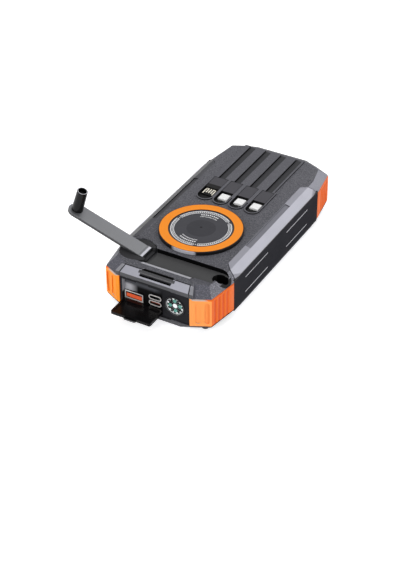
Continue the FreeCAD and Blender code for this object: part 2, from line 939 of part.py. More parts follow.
def knob_well_outside():
    """Room in the lower half for the well that hangs from the upper half."""
    low = well_low - well_wall - fit_gap
    return cyl(knob_hole_x, turn_y, low, parting_z, well_r + well_wall + fit_gap).common(rooted)


def screw_head_holes():
    return [cyl(x, y, -1, screw_seat_z, screw_head_r + screw_clear) for x, y in case_screws()]


def case_screws():
    """Places of the eight screws: one in each corner and two along each side."""
    out = []
    for sx in (-1, 1):
        for sy in (-1, 1):
            out.append((sx * corner_screw_x, sy * corner_screw_y))
            out.append((sx * rail_screw_x, sy * rail_screw_y))
    return out


def shell_screws():
    """Cross-head screws from the underside up to the parting line."""
    out = []
    for x, y in case_screws():
        profile = [
            (0, screw_head_low),
            (screw_head_r, screw_head_low),
            (screw_head_r, screw_seat_z),
            (screw_r, screw_seat_z),
            (screw_r, parting_z - screw_short),
            (0, parting_z),
        ]
        screw = revolve_z(profile, x, y)
        for turn in (0, 90):
            bar = box(-cross_reach, cross_reach, -cross_half, cross_half, 0, screw_head_low + cross_deep)
            bar.rotate(Vector(0, 0, 0), Vector(0, 0, 1), turn)
            bar.translate(Vector(x, y, 0))
            screw = screw.cut(bar)
        out.append(screw)
    return Part.makeCompound(out)


# ---------------------------------------------------------------- built-in leads
def pocket_half(lane):
    return (usb_a_pocket if lane == 0 else small_pocket) / 2


def pocket_shape(lane, grow, z0, z1, rear):
    """A pocket's plan: round in front, straight to the rear, larger by grow all round."""
    x = lane_xs[lane]
    r = pocket_half(lane)
    mid = pocket_front + r
    return fuse([
        box(x - r - grow, x + r + grow, mid, rear, z0, z1),
        cyl(x, mid, z0, z1, r + grow),
    ])


def deck_outline(z0, z1):
    """The raised deck: a lobe round each pocket, narrower on the right beside the channels."""
    left = lane_xs[0] - pocket_half(0) - pocket_rim
    right = lane_xs[-1] + lane_width / 2 + deck_side
    step = lane_start + pocket_rim
    parts = [pocket_shape(lane, pocket_rim, z0, z1, step) for lane in range(lane_count)]
    parts.append(box(left, lane_xs[-1], pocket_front + small_pocket, step, z0, z1))
    parts.append(box(left, right, lane_start - 1, deck_end, z0, z1))
    return fuse(parts)


def lane_cuts():
    """Open channels that the flat leads lie in, run out over the rear slope."""
    half = lane_width / 2
    return Part.makeCompound([
        box(x - half, x + half, lane_start - 1, rear_y + 1, lane_low, top_z + 2) for x in lane_xs])


def pocket_cuts():
    return [pocket_shape(lane, 0.0, pocket_low, top_z + 2, lane_start) for lane in range(lane_count)]


def lead_pocket_block():
    """Material under the top face round the four plug pockets and the channels."""
    left = lane_xs[0] - pocket_half(0) - pocket_rim
    right = lane_xs[-1] + pocket_half(lane_count - 1) + pocket_rim
    low = pocket_low - pocket_floor
    high = top_z - skin / 2
    pockets = box(left, right, pocket_front - pocket_rim, lane_start + 2 * pocket_rim, low, high)
    lanes = box(left, right, lane_start, rear_y, lane_low - pocket_floor, high)
    return pockets.fuse(lanes).common(rooted)


def cable_deck():
    deck = deck_outline(top_z - deck_sunk, deck_top)
    return deck.cut(pocket_cuts() + [lane_cuts()])


def charging_lead(lane):
    """A flat lead with a moulded head in its pocket and a level patch over the fold."""
    x = lane_xs[lane]
    half = lane_width / 2 - pocket_gap
    strip = box(x - half, x + half, patch_start, deck_end, lane_low, lane_low + lead_thick)
    wide = pocket_half(lane) - pocket_gap
    patch_z = deck_top - patch_thick
    patch = box(x - wide, x + wide, patch_start, lane_start - pocket_gap, patch_z, deck_top - patch_drop)
    head = pocket_shape(lane, -pocket_gap, pocket_low, pocket_low + head_thick, patch_start + 1)
    neck_end = patch_start + neck_length
    neck = box(x - neck_half, x + neck_half, patch_start, neck_end, pocket_low, patch_z + 0.5)
    return fuse([strip, patch, head, neck])


def charging_leads():
    return Part.makeCompound([charging_lead(lane) for lane in range(lane_count)])


def usb_a_plug():
    """The first lead's plug: a flat tongue with four contacts."""
    x = lane_xs[0]
    z0 = pocket_low + head_thick
    z1 = z0 + plug_thick
    half = usb_a_pocket / 2 - plug_side
    front = pocket_front + plug_back
    parts = [box(x - half, x + half, front, patch_start, z0, z1)]
    for i in range(contact_count):
        middle = x + (i - (contact_count - 1) / 2) * contact_pitch
        left = middle - contact_width / 2
        parts.append(box(left, left + contact_width, front + 0.6, patch_start, z1, z1 + contact_thick))
    return fuse(parts)


def lead_plugs():
    """The tips of the other three leads, folded back on their heads."""
    z0 = pocket_low + head_thick
    half = tip_width / 2
    front = pocket_front + tip_back
    tips = []
    for x in lane_xs[1:]:
        tips.append(rounded_box(
            x - half, x + half, front, front + tip_length,
            z0, z0 + tip_thick, tip_round, Vector(0, 1, 0),
        ))
    return Part.makeCompound(tips)


# ---------------------------------------------------------------- pieces of the pad
def charging_pad():
    """A round puck with a sunk seat for the ring and for the middle disc."""
    puck = cyl(0, pad_y, top_z - pad_sunk, pad_top, pad_r)
    puck = round_edges(puck, pad_round, lambda e: e.BoundBox.ZMin > pad_top - 0.01)
    return puck.cut(cyl(0, pad_y, pad_top - ring_thick, pad_top + 1, ring_outer))


def pad_ring():
    low = pad_top - ring_thick
    ring = cyl(0, pad_y, low, pad_top + ring_proud, ring_outer - seat_gap)
    return ring.cut(cyl(0, pad_y, low - 1, pad_top + 1, ring_inner + seat_gap))


def pad_disc():
    """The soft middle of the pad, with a low dome."""
    flat = pad_top - disc_drop
    disc = cyl(0, pad_y, pad_top - ring_thick, flat, ring_inner)
    cap = ball_cap(dome_r, dome_height)
    cap.translate(Vector(0, pad_y, flat))
    return disc.fuse(cap).removeSplitter()


def ball_cap(r, rise):
    """A shallow dome on the XY plane, its lower face sunk by the rise so that it fuses well."""
    ball_r = (r ** 2 + rise ** 2) / (2 * rise)
    ball = Part.makeSphere(ball_r, Vector(0, 0, rise - ball_r))
    return ball.common(cyl(0, 0, -rise / 2, rise + 1, r))


def wireless_coil():
    high = top_z - skin
    coil = cyl(0, pad_y, high - coil_thick, high, coil_outer)
    return coil.cut(cyl(0, pad_y, 0, top_z, coil_inner))


def magnet_ring():
    """Arc magnets round the coil that pull a phone to the middle."""
    high = top_z - skin
    ring = cyl(0, pad_y, high - magnet_thick, high, magnet_outer).cut(cyl(0, pad_y, 0, top_z, magnet_inner))
    gaps = []
    for i in range(magnet_count):
        gap = box(magnet_inner - 1, magnet_outer + 1, -magnet_gap / 2, magnet_gap / 2, 0, top_z)
        gap.rotate(Vector(0, 0, 0), Vector(0, 0, 1), i * 360 / magnet_count)
        gap.translate(Vector(0, pad_y, 0))
        gaps.append(gap)
    return Part.makeCompound(ring.cut(gaps).Solids)


# ---------------------------------------------------------------- socket end
def stadium_y(x, z, width, height, y0, y1):
    r = height / 2
    half = width / 2 - r
    return fuse([
        box(x - half, x + half, y0, y1, z - r, z + r),
        cyl_y(x - half, z, y0, y1, r),
        cyl_y(x + half, z, y0, y1, r),
    ])


def plate_block(y0, y1):
    return box(-plate_half, plate_half, y0, y1, trim_low_z + window_gap, trim_high_z - window_gap)


def port_plate():
    """The dark end plate with the covered bay, the socket cut-outs and the compass hole."""
    tools = [box(bay_left, bay_right, plate_y - 1, bay_floor_y, bay_low, bay_high)]
    half = cover_tab_width / 2 + fit_gap
    tools.append(box(
        cover_tab_x - half, cover_tab_x + half,
        plate_y - 1, plate_y + cover_thick,
        bay_high - 1, bay_high + cover_tab_reach + fit_gap,
    ))
    tools.append(usb_a_block(plate_y, plate_back_y + 1, 0.0))
    for z in (usb_c_upper_z, usb_c_lower_z):
        tools.append(stadium_y(usb_c_x, z, usb_c_width, usb_c_height, plate_y, plate_back_y + 1))
    tools.append(cyl_y(compass_x, compass_z, plate_y - 1, plate_back_y + 1, compass_r + seat_gap))
    tools.append(hinge_rod(cover_pin_end, cover_pin_r + seat_gap))
    return plate_block(plate_y, plate_back_y).cut(tools)


def usb_a_block(y0, y1, inset):
    half = usb_a_width / 2 - inset
    high = usb_a_height / 2 - inset
    return box(usb_a_x - half, usb_a_x + half, y0, y1, usb_a_z - high, usb_a_z + high)


def usb_a_socket():
    """A folded steel shell, open at the mouth."""
    back = socket_y + usb_a_depth
    shell = usb_a_block(socket_y, back, 0.0)
    shell = round_edges(shell, socket_round, lambda e: runs_along(e, Vector(0, 1, 0)))
    return shell.cut(usb_a_block(socket_y - 1, back - socket_wall, socket_wall))


def usb_a_tongue():
    z = usb_a_z + tongue_up
    half = usb_a_width / 2 - socket_wall - tongue_side_gap
    return box(
        usb_a_x - half, usb_a_x + half,
        socket_y + tongue_back, socket_y + usb_a_depth - socket_wall,
        z - tongue_thick / 2, z + tongue_thick / 2,
    )


def usb_c_sockets():
    out = []
    back = socket_y + usb_c_depth
    w = socket_wall
    for z in (usb_c_upper_z, usb_c_lower_z):
        shell = stadium_y(usb_c_x, z, usb_c_width, usb_c_height, socket_y, back)
        room = stadium_y(usb_c_x, z, usb_c_width - 2 * w, usb_c_height - 2 * w, socket_y - 1, back - w)
        out.append(shell.cut(room))
    return Part.makeCompound(out)


def usb_c_tongues():
    out = []
    left = usb_c_x - usb_c_tongue_half
    half = usb_c_tongue_thick / 2
    for z in (usb_c_upper_z, usb_c_lower_z):
        out.append(box(
            left, left + 2 * usb_c_tongue_half,
            socket_y + usb_c_tongue_back, socket_y + usb_c_depth - socket_wall,
            z - half, z + half,
        ))
    return Part.makeCompound(out)


def hinge_rod(beyond, r):
    return cyl_x(cover_axis_y, cover_axis_z, bay_left - beyond, bay_right + beyond, r)


def port_cover():
    """The flip-down lid over the sockets, modelled shut and then laid open, level with its hinge."""
    r = cover_thick / 2
    left = bay_left + fit_gap
    right = bay_right - fit_gap
    y, z = cover_axis_y, cover_axis_z
    high = bay_high - fit_gap
    leaf = box(left, right, y - r, y + r, z - cover_round, high)
    leaf = round_edges(leaf, cover_round, lambda e: runs_along(e, Vector(0, 1, 0)))
    leaf = leaf.common(box(left, right, y - r, y + r, z, high))
    barrel = cyl_x(y, z, left, right, r)
    tab = rounded_box(
        cover_tab_x - cover_tab_width / 2, cover_tab_x + cover_tab_width / 2,
        y - r, y, high - cover_tab_reach, high + cover_tab_reach,
        cover_tab_reach / 2, Vector(0, 1, 0),
    )
    inset = cover_hollow_in
    hollow = box(left + inset, right - inset, y + r - cover_hollow, y + r + 1, z + r + inset, high - inset)
    lid = fuse([leaf, barrel, tab]).cut([hollow, hinge_rod(0.0, cover_pin_r + seat_gap)])
    lid = max(lid.Solids, key=lambda part: part.Volume)
    return turned(lid, Vector(0, y, z), Vector(1, 0, 0), 90)


def cover_pin():
    return hinge_rod(cover_pin_end, cover_pin_r)


def compass_case():
    """A small round cup pressed in the plate."""
    back = compass_y + compass_depth
    cup = cyl_y(compass_x, compass_z, compass_y, back, compass_r)
    room_r = compass_r - compass_wall
    return cup.cut(cyl_y(compass_x, compass_z, compass_y - 1, back - compass_floor, room_r))


def compass_dial():
    back = compass_y + compass_depth - compass_floor
    return cyl_y(compass_x, compass_z, back - dial_thick, back, compass_r - compass_wall - seat_gap)


def compass_needle():
    """A lozenge needle on a pivot."""
    dial_y = compass_y + compass_depth - compass_floor - dial_thick
    y = dial_y - needle_rise - needle_thick
    half = compass_r - compass_wall - needle_rise - needle_half_width
    ends = [(-half, 0), (0, needle_half_width), (half, 0), (0, -needle_half_width)]
    needle = prism_y(ends, y, y + needle_thick)
    needle.rotate(Vector(0, y, 0), Vector(0, 1, 0), needle_turn)
    needle.translate(Vector(compass_x, 0, compass_z))
    pivot = cyl_y(compass_x, compass_z, y - needle_thick, dial_y, pivot_r)
    return needle.fuse(pivot).removeSplitter()


def compass_glass():
    """A low clear dome."""
    r = compass_r - compass_wall - seat_gap
    ball_r = (r ** 2 + glass_rise ** 2) / (2 * glass_rise)
    ball = Part.makeSphere(ball_r, Vector(compass_x, compass_y - glass_rise + ball_r, compass_z))
    return ball.common(cyl_y(compass_x, compass_z, compass_y - 2, compass_y + glass_deep, r))


# ---------------------------------------------------------------- torch end
def torch_plate():
    """The plate at the other end, with raised rims round the torches."""
    y = torch_y
    tools = [cyl_y(0, parting_z, y - torch_depth, y + 1, warning_r + seat_gap)]
    rims = []
    for x in (-torch_x, torch_x):
        tools.append(cyl_y(x, parting_z, y - torch_depth, y + 1, torch_r + seat_gap))
        rims.append(cyl_y(x, parting_z, y - 1, y + torch_rim_proud, torch_r + torch_rim))
    return plate_block(y - plate_thick, y).fuse(rims).cut(tools)


def torch_reflectors():
    """Bright bowls with a curved inside."""
    out = []
    front = torch_y + reflector_proud
    back = front - torch_depth
    mouth = torch_r - reflector_wall
    deep = torch_depth - lens_thick - 2 * reflector_wall
    rim = front - lens_thick
    bowl = [(0, front + 1), (mouth, front + 1)]
    for i in range(reflector_steps + 1):
        share = i / reflector_steps
        bowl.append((led_size + (mouth - led_size) * math.sqrt(1 - share), rim - deep * share))
    bowl.append((0, rim - deep))
    for x in (-torch_x, torch_x):
        cup = cyl_y(x, parting_z, back, front, torch_r)
        out.append(cup.cut(revolve_y(bowl, x, parting_z)))
    return Part.makeCompound(out)


def torch_lenses():
    """Clear lenses with a raised middle."""
    out = []
    front = torch_y + lens_proud
    for x in (-torch_x, torch_x):
        disc = cyl_y(x, parting_z, front - lens_thick, front, torch_r - reflector_wall - seat_gap)
        ball = Part.makeSphere(lens_eye_ball, Vector(x, front + lens_eye_rise - lens_eye_ball, parting_z))
        eye = ball.common(cyl_y(x, parting_z, front - lens_thick, front + 1, lens_eye_r))
        out.append(disc.fuse(eye).removeSplitter())
    return Part.makeCompound(out)


def torch_leds():
    """Square emitters on the floor of the bowls."""
    low = torch_y + reflector_proud - torch_depth + 2 * reflector_wall
    half = led_size / 2
    return Part.makeCompound([
        box(x - half, x + half, low, low + led_thick, parting_z - half, parting_z + half)
        for x in (-torch_x, torch_x)])


def warning_led():
    """A red bulb-shaped light between the torches."""
    front = torch_y + warning_proud
    body = cyl_y(0, parting_z, torch_y - plate_thick, front, warning_r)
    return body.fuse(Part.makeSphere(warning_r, Vector(0, front, parting_z))).removeSplitter()


# ---------------------------------------------------------------- crank
def turntable():
    """The disc that the crank turns, notched for the arm, with a hub down into the gear."""
    disc = cyl(turn_x, turn_y, disc_low, disc_top, turn_r)
    disc = round_edges(disc, pad_round, lambda e: e.BoundBox.ZMin > disc_top - 0.01)
    hub = cyl(turn_x, turn_y, drive_high + seat_gap, disc_low, hub_r)
    body = fuse([disc, hub, keyed_spigot(0.0, drive_low, disc_low)])
    beyond = 2 * turn_r
    chord = box(turn_x + turn_chord, turn_x + beyond, turn_y - beyond, turn_y + beyond, 0, top_z + 1)
    pin = cyl_y(hinge_x, hinge_z, turn_y - turn_r, turn_y + turn_r, arm_pin_r + seat_gap)
    screw_end = drive_low + crank_screw_length + seat_gap
    screw = cyl(turn_x, turn_y, drive_low - 1, screw_end, crank_screw_r + seat_gap)
    return body.cut([arm_notch(), chord, pin, screw])


def keyed_spigot(grow, z0, z1):
    """The flat-sided end of the hub that drives the gear, or its hole when grown."""
    flats = spigot_half + grow
    return cyl(turn_x, turn_y, z0, z1, hub_r - spigot_in + grow).common(
        box(turn_x - hub_r, turn_x + hub_r, turn_y - flats, turn_y + flats, z0, z1))


def arm_notch():
    """Room in the disc for the arm, with a slope under it as its stop when swung out."""
    rise = math.radians(arm_rise)
    high = disc_top + 0.5
    deep = hinge_z - knuckle_r - fit_gap
    foot = hinge_z - arm_thick / 2 / math.cos(rise) - notch_under_gap
    slope_end = hinge_x - (high - foot) / math.tan(rise)
    profile = [
        (hinge_x + turn_r, deep),
        (hinge_x - notch_heel, deep),
        (hinge_x - notch_heel - 0.1, foot),
        (slope_end, high),
        (slope_end, top_z + 1),
        (hinge_x + turn_r, top_z + 1),
    ]
    half = arm_width / 2 + notch_side_gap
    return prism_y(profile, turn_y - half, turn_y + half)


def arm_pin():
    half = math.sqrt(turn_r ** 2 - hinge_out ** 2) - pin_short
    return cyl_y(hinge_x, hinge_z, turn_y - half, turn_y + half, arm_pin_r)


def swung(shape):
    """From level with the hinge to the arm's stop."""
    return turned(shape, Vector(hinge_x, turn_y, hinge_z), Vector(0, 1, 0), arm_rise)


def crank_arm():
    """A flat bar, round at the knob, with a rolled knuckle and a groove across its root."""
    half = arm_width / 2
    t = arm_thick / 2
    low, high = hinge_z - t, hinge_z + t
    bar = box(arm_end_x, hinge_x, turn_y - half, turn_y + half, low, high)
    end = cyl(arm_end_x, turn_y, low, high, half)
    knuckle = cyl_y(hinge_x, hinge_z, turn_y - half, turn_y + half, knuckle_r)
    arm = fuse([bar, end, knuckle])
    groove_x = hinge_x - arm_groove_back
    groove = box(
        groove_x - arm_groove_width / 2, groove_x + arm_groove_width / 2,
        turn_y - arm_width, turn_y + arm_width,
        high - arm_groove_deep, high + 1,
    )
    bore = cyl_y(hinge_x, hinge_z, turn_y - arm_width, turn_y + arm_width, arm_pin_r + seat_gap)
    arm = arm.cut([groove, bore, cyl(arm_end_x, turn_y, low - 1, high + 1, stud_r)])

    def on_rim(edge):
        middle = edge.CenterOfMass
        flat = abs(abs(middle.z - hinge_z) - t) < 0.01
        at_side = abs(abs(middle.y - turn_y) - half) < 0.01
        return flat and edge.Length > arm_thick * 3 and (at_side or middle.x < arm_end_x - stud_r)

    return swung(arm.makeChamfer(arm_bevel, [e for e in arm.Edges if on_rim(e)]))


def knob():
    """A tapered handle that turns on its stud, hollow at its end."""
    low = hinge_z + arm_thick / 2 + knob_gap
    high = hinge_z + arm_thick / 2 + knob_length
    grip = Part.makeCone(knob_base_r, knob_tip_r, high - low, Vector(arm_end_x, turn_y, low))
    grip = round_edges(grip, knob_tip_round, lambda e: e.BoundBox.ZMin > high - 0.01)
    bore = cyl(arm_end_x, turn_y, low - 1, high + 1, knob_bore_r)
    cup = cyl(arm_end_x, turn_y, high - knob_cup_deep, high + 1, knob_cup_r)
    return swung(grip.cut([bore, cup]))


def knob_stud():
    """A shouldered rivet through the arm that holds the knob."""
    low = hinge_z - arm_thick / 2
    seat = hinge_z + arm_thick / 2 + knob_length - knob_cup_deep + 2 * seat_gap
    shank = cyl(arm_end_x, turn_y, low, seat, stud_r)
    head = cyl(arm_end_x, turn_y, seat, seat + stud_head_thick, stud_head_r)
    return swung(shank.fuse(head).removeSplitter())


def crank_screw():
    """The slotted screw that holds the large gear up against the turntable."""
    low = drive_low - crank_screw_head
    shank = cyl(turn_x, turn_y, drive_low, drive_low + crank_screw_length, crank_screw_r)
    head = cyl(turn_x, turn_y, low, drive_low, crank_screw_head_r)
    reach = crank_screw_head_r + 1
    half = crank_screw_slot / 2
    slot = box(
        turn_x - reach, turn_x + reach, turn_y - half, turn_y + half,
        low - 1, low + crank_screw_slot_deep,
    )
    return shank.fuse(head).cut(slot)


# ---------------------------------------------------------------- gears
def involute(base, radius):
    """Polar angle of an involute point at this radius."""
    a = math.acos(min(1.0, base / radius))
    return math.tan(a) - a


def spur_gear(teeth, z0, z1, x, y, phase):
    """An involute gear with a tooth centred on the phase angle, in degrees."""
    pitch = gear_module * teeth / 2
    base = pitch * math.cos(math.radians(pressure_angle))
    tip = pitch + tooth_addendum * gear_module
    root = pitch - tooth_dedendum * gear_module
    half = math.pi / teeth / 2 - gear_backlash / 2 / pitch
    at_pitch = involute(base, pitch)
    radii = [max(base, root) + (tip - max(base, root)) * s for s in (0.0, 0.5, 1.0)]
    points = []
    for i in range(teeth):
        mid = math.radians(phase) + 2 * math.pi * i / teeth
        low = half + at_pitch
        flank = [(r, low - involute(base, r)) for r in radii]
        side = [(root, low)] + flank if root < base else flank
        points += [(r, mid - a) for r, a in side]
        points += [(r, mid + a) for r, a in reversed(side)]
    outline = [(x + r * math.cos(a), y + r * math.sin(a)) for r, a in points]
    return prism_z(outline, z0, z1)


def drive_gear():
    """The large gear under the turntable, keyed to its hub, with a ring of holes."""
    gear = spur_gear(drive_teeth, drive_low, drive_high, turn_x, turn_y, idler_angle)
    tools = [keyed_spigot(seat_gap, drive_low - 1, drive_high + 1)]
    step = 360 / drive_hole_count
    for i in range(drive_hole_count):
        x, y = polar(turn_x, turn_y, drive_hole_ring, idler_angle + step * (i + 0.5))
        tools.append(cyl(x, y, drive_low - 1, drive_high + 1, drive_hole_r))
    return gear.cut(tools)


def polar(x, y, reach, degrees):
    a = math.radians(degrees)
    return x + reach * math.cos(a), y + reach * math.sin(a)


def meshing_phase(angle):
    """Puts the gap between two pinion teeth on the line to the wheel that drives it."""
    return angle + 180 + 180 / pinion_teeth


def idler_gear():
    """A pinion and a larger wheel in one piece on a fixed axle."""
    pinion = spur_gear(
        pinion_teeth, wheel_high - 0.01, drive_high + fit_gap,
        idler_x, idler_y, meshing_phase(idler_angle))
    wheel = spur_gear(wheel_teeth, wheel_low, wheel_high, idler_x, idler_y, rotor_angle)
    bore = cyl(idler_x, idler_y, 0, top_z, axle_r + seat_gap)
    return pinion.fuse(wheel).removeSplitter().cut(bore)


def idler_axle():
    return cyl(idler_x, idler_y, plate_low, axle_top, axle_r)


def generator_rotor():
    """Pinion, shaft and magnet drum."""
    pinion = spur_gear(
        pinion_teeth, wheel_low - plate_below / 2, wheel_high + plate_below / 2,
        rotor_x, rotor_y, meshing_phase(rotor_angle))
    shaft = cyl(rotor_x, rotor_y, can_low + can_wall / 2 + seat_gap, wheel_low, axle_r)
    inset = can_wall + rotor_gap
    drum = cyl(rotor_x, rotor_y, can_low + inset, plate_low - inset, rotor_r)
    return fuse([pinion, shaft, drum])


def generator_can():
    can = cyl(rotor_x, rotor_y, can_low, plate_low, can_r)
    room = cyl(rotor_x, rotor_y, can_low + can_wall, plate_low - can_wall, can_r - can_wall)
    bore = cyl(rotor_x, rotor_y, can_low + can_wall / 2, plate_low + 1, axle_r + seat_gap)
    return can.cut([room, bore])


def stator_coils():
    """Six wound blocks round the rotor, against the can."""
    out = []
    inset = can_wall + rotor_gap
    ring = cyl(rotor_x, rotor_y, can_low + inset, plate_low - inset, can_r - can_wall - seat_gap)
    ring = ring.cut(cyl(rotor_x, rotor_y, 0, top_z, rotor_r + coil_air))
    for i in range(coil_count):
        wedge = box(0, 2 * can_r, -coil_half, coil_half, 0, top_z)
        wedge.rotate(Vector(0, 0, 0), Vector(0, 0, 1), i * 360 / coil_count)
        wedge.translate(Vector(rotor_x, rotor_y, 0))
        out.append(ring.common(wedge))
    return Part.makeCompound(out)


def gear_posts():
    """Places of the carrier plate's posts, each set out from a gear that it stands clear of."""
    centres = (
        (turn_x, turn_y, drive_pitch_r),
        (idler_x, idler_y, wheel_pitch_r),
        (idler_x, idler_y, wheel_pitch_r),
    )
    return [
        polar(x, y, pitch_r + gap, angle)
        for (x, y, pitch_r), gap, angle in zip(centres, post_gaps, post_angles)
    ]


def strap(a, b, r, z0, z1):
    """A flat bar with round ends between two centres."""
    length = math.dist(a, b)
    bar = box(0, length, -r, r, z0, z1)
    bar.rotate(Vector(0, 0, 0), Vector(0, 0, 1), math.degrees(math.atan2(b[1] - a[1], b[0] - a[0])))
    bar.translate(Vector(a[0], a[1], 0))
    return fuse([bar, cyl(a[0], a[1], z0, z1, r), cyl(b[0], b[1], z0, z1, r)])


def gearbox_plate():
    """A carrier with straps to three posts under the top shell; it holds the axle and the generator."""
    r = post_r + post_pad
    centre = (idler_x, idler_y)
    parts = [strap(centre, (rotor_x, rotor_y), r, plate_low, plate_high)]
    parts.append(cyl(rotor_x, rotor_y, plate_low, plate_high, can_r))
    for i, post in enumerate(gear_posts()):
        high = top_z - skin if i == 0 else slot_z - slot_floor_thick
        parts.append(strap(centre, post, r, plate_low, plate_high))
        parts.append(cyl(post[0], post[1], plate_low, high, post_r))
    holes = [
        cyl(idler_x, idler_y, 0, top_z, axle_r + seat_gap),
        cyl(rotor_x, rotor_y, 0, top_z, axle_r + fit_gap),
    ]
    return fuse(parts).cut(holes)


# ---------------------------------------------------------------- solar side
def solar_block(inset, z0, z1):
    """A rounded block in the panel's seat, its sides moved in by inset."""
    x = solar_half_x - inset
    y = solar_half_y - inset
    return rounded_box(-x, x, -y, y, z0, z1, max(solar_round - inset, 1.0))


def solar_frame():
    frame = solar_block(solar_seat_gap, 0, solar_depth - solar_seat_gap)
    return frame.cut(solar_block(solar_border + solar_seat_gap, -1, solar_depth + 1))


def solar_layer(z0, z1):
    return solar_block(solar_border + solar_seat_gap + solar_layer_gap, z0, z1)


def solar_glass():
    return solar_layer(0, glass_thick)


def solar_cells():
    """Two columns of thin cells behind the glass."""
    z1 = glass_thick + cell_thick
    x_all = 2 * (solar_half_x - solar_border - cell_border)
    y_all = 2 * (solar_half_y - solar_border - cell_border)
    width = (x_all - cell_gap) / 2
    length = (y_all - cell_gap * (cell_rows - 1)) / cell_rows
    out = []
    for column in range(2):
        for row in range(cell_rows):
            x = -x_all / 2 + column * (width + cell_gap)
            y = -y_all / 2 + row * (length + cell_gap)
            out.append(box(x, x + width, y, y + length, glass_thick, z1))
    return Part.makeCompound(out)


def solar_board():
    return solar_layer(glass_thick + cell_thick, solar_depth)


# ---------------------------------------------------------------- inside
def battery_cells():
    """Flat cells stacked on the floor of the lower half."""
    out = []
    for i in range(battery_count):
        z = floor_z + i * battery_height
        out.append(rounded_box(
            -battery_half, battery_half, battery_front, battery_rear,
            z, z + battery_height - battery_skin, battery_round,
        ))
    return Part.makeCompound(out)


def main_board():
    """The circuit board under the sockets, with its larger parts and two legs to the floor."""
    high = min(usb_c_lower_z - usb_c_height / 2, usb_a_z - usb_a_height / 2)
    low = high - board_thick
    left = board_left_gap + screw_boss_r - corner_screw_x
    right = knob_hole_x - well_r - well_wall - board_right_gap
    front = plate_back_y + board_gap
    back = front + board_depth
    parts = [box(left, right, front, back, low, high)]
    chip_y = back - chip_size - 1
    for i in range(chip_count):
        x = usb_c_x + usb_c_width / 2 + chip_pitch / 2 + i * chip_pitch
        parts.append(box(x, x + chip_size, chip_y, chip_y + chip_size, high, high + chip_height))
    for x in (left + board_leg_in, right - board_leg_in):
        parts.append(cyl(x, back - board_leg_in, floor_z, low, board_leg_r))
    return fuse(parts)


def build():
    os.makedirs("parts", exist_ok=True)
    pieces = {
        "top_shell": top_shell,
        "bottom_shell": bottom_shell,
        "left_side_panel": lambda: side_panel(-1),
        "right_side_panel": lambda: side_panel(1),
        "top_rails": lambda: rails(True),
        "bottom_rails": lambda: rails(False),
        "front_left_bumper": lambda: bumper(-1, -1),
        "front_right_bumper": lambda: bumper(1, -1),
        "rear_left_bumper": lambda: bumper(-1, 1),
        "rear_right_bumper": lambda: bumper(1, 1),
        "port_plate": port_plate,
        "torch_plate": torch_plate,
        "front_trims": lambda: trims(-1),
        "rear_trims": lambda: trims(1),
        "lanyard_bar": lanyard_bar,
        "usb_a_socket": usb_a_socket,
        "usb_a_tongue": usb_a_tongue,
        "usb_c_sockets": usb_c_sockets,
        "usb_c_tongues": usb_c_tongues,
        "compass_case": compass_case,
        "compass_dial": compass_dial,
        "compass_needle": compass_needle,
        "compass_glass": compass_glass,
        "torch_reflectors": torch_reflectors,
        "torch_lenses": torch_lenses,
        "torch_leds": torch_leds,
        "warning_led": warning_led,
        "charging_pad": charging_pad,
        "pad_ring": pad_ring,
        "pad_disc": pad_disc,
        "wireless_coil": wireless_coil,
        "magnet_ring": magnet_ring,
        "cable_deck": cable_deck,
        "charging_leads": charging_leads,
        "usb_a_plug": usb_a_plug,
        "lead_plugs": lead_plugs,
        "solar_frame": solar_frame,
        "solar_glass": solar_glass,
        "solar_cells": solar_cells,
        "solar_board": solar_board,
        "battery_cells": battery_cells,
        "main_board": main_board,
        "generator_can": generator_can,
        "stator_coils": stator_coils,
        "gearbox_plate": gearbox_plate,
        "idler_axle": idler_axle,
        "shell_screws": shell_screws,
        "charge_lights": charge_lights,
        "turntable": turntable,
        "drive_gear": drive_gear,
        "crank_screw": crank_screw,
        "arm_pin": arm_pin,
        "crank_arm": crank_arm,
        "knob_stud": knob_stud,
        "knob": knob,
        "idler_gear": idler_gear,
        "generator_rotor": generator_rotor,
        "port_cover": port_cover,
        "cover_pin": cover_pin,
        "power_button": power_button,
    }
    for name, make in pieces.items():
        shape = make()
        print(name, len(shape.Solids), round(shape.Volume, 1), shape.isValid())
        shape.exportStep(f"parts/{name}.step")


build()
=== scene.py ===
import math
import bpy
import bmesh
from mathutils import Euler, Matrix, Vector


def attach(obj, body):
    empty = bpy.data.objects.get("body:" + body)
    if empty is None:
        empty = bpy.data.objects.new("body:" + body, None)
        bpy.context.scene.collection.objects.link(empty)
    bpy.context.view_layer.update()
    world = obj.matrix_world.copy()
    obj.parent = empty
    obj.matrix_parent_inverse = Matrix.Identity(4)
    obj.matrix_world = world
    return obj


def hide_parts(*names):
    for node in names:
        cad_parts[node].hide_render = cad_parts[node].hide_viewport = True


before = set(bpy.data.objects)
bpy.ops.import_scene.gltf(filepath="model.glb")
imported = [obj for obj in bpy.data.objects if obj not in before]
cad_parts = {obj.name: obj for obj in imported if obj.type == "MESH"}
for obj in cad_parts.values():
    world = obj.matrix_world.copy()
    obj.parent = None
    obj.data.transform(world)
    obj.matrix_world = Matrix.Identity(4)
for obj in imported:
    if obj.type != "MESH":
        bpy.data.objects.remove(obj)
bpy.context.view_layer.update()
print("frame loaded")

scene = bpy.context.scene
scene.view_settings.view_transform = "Standard"
mm = 0.001


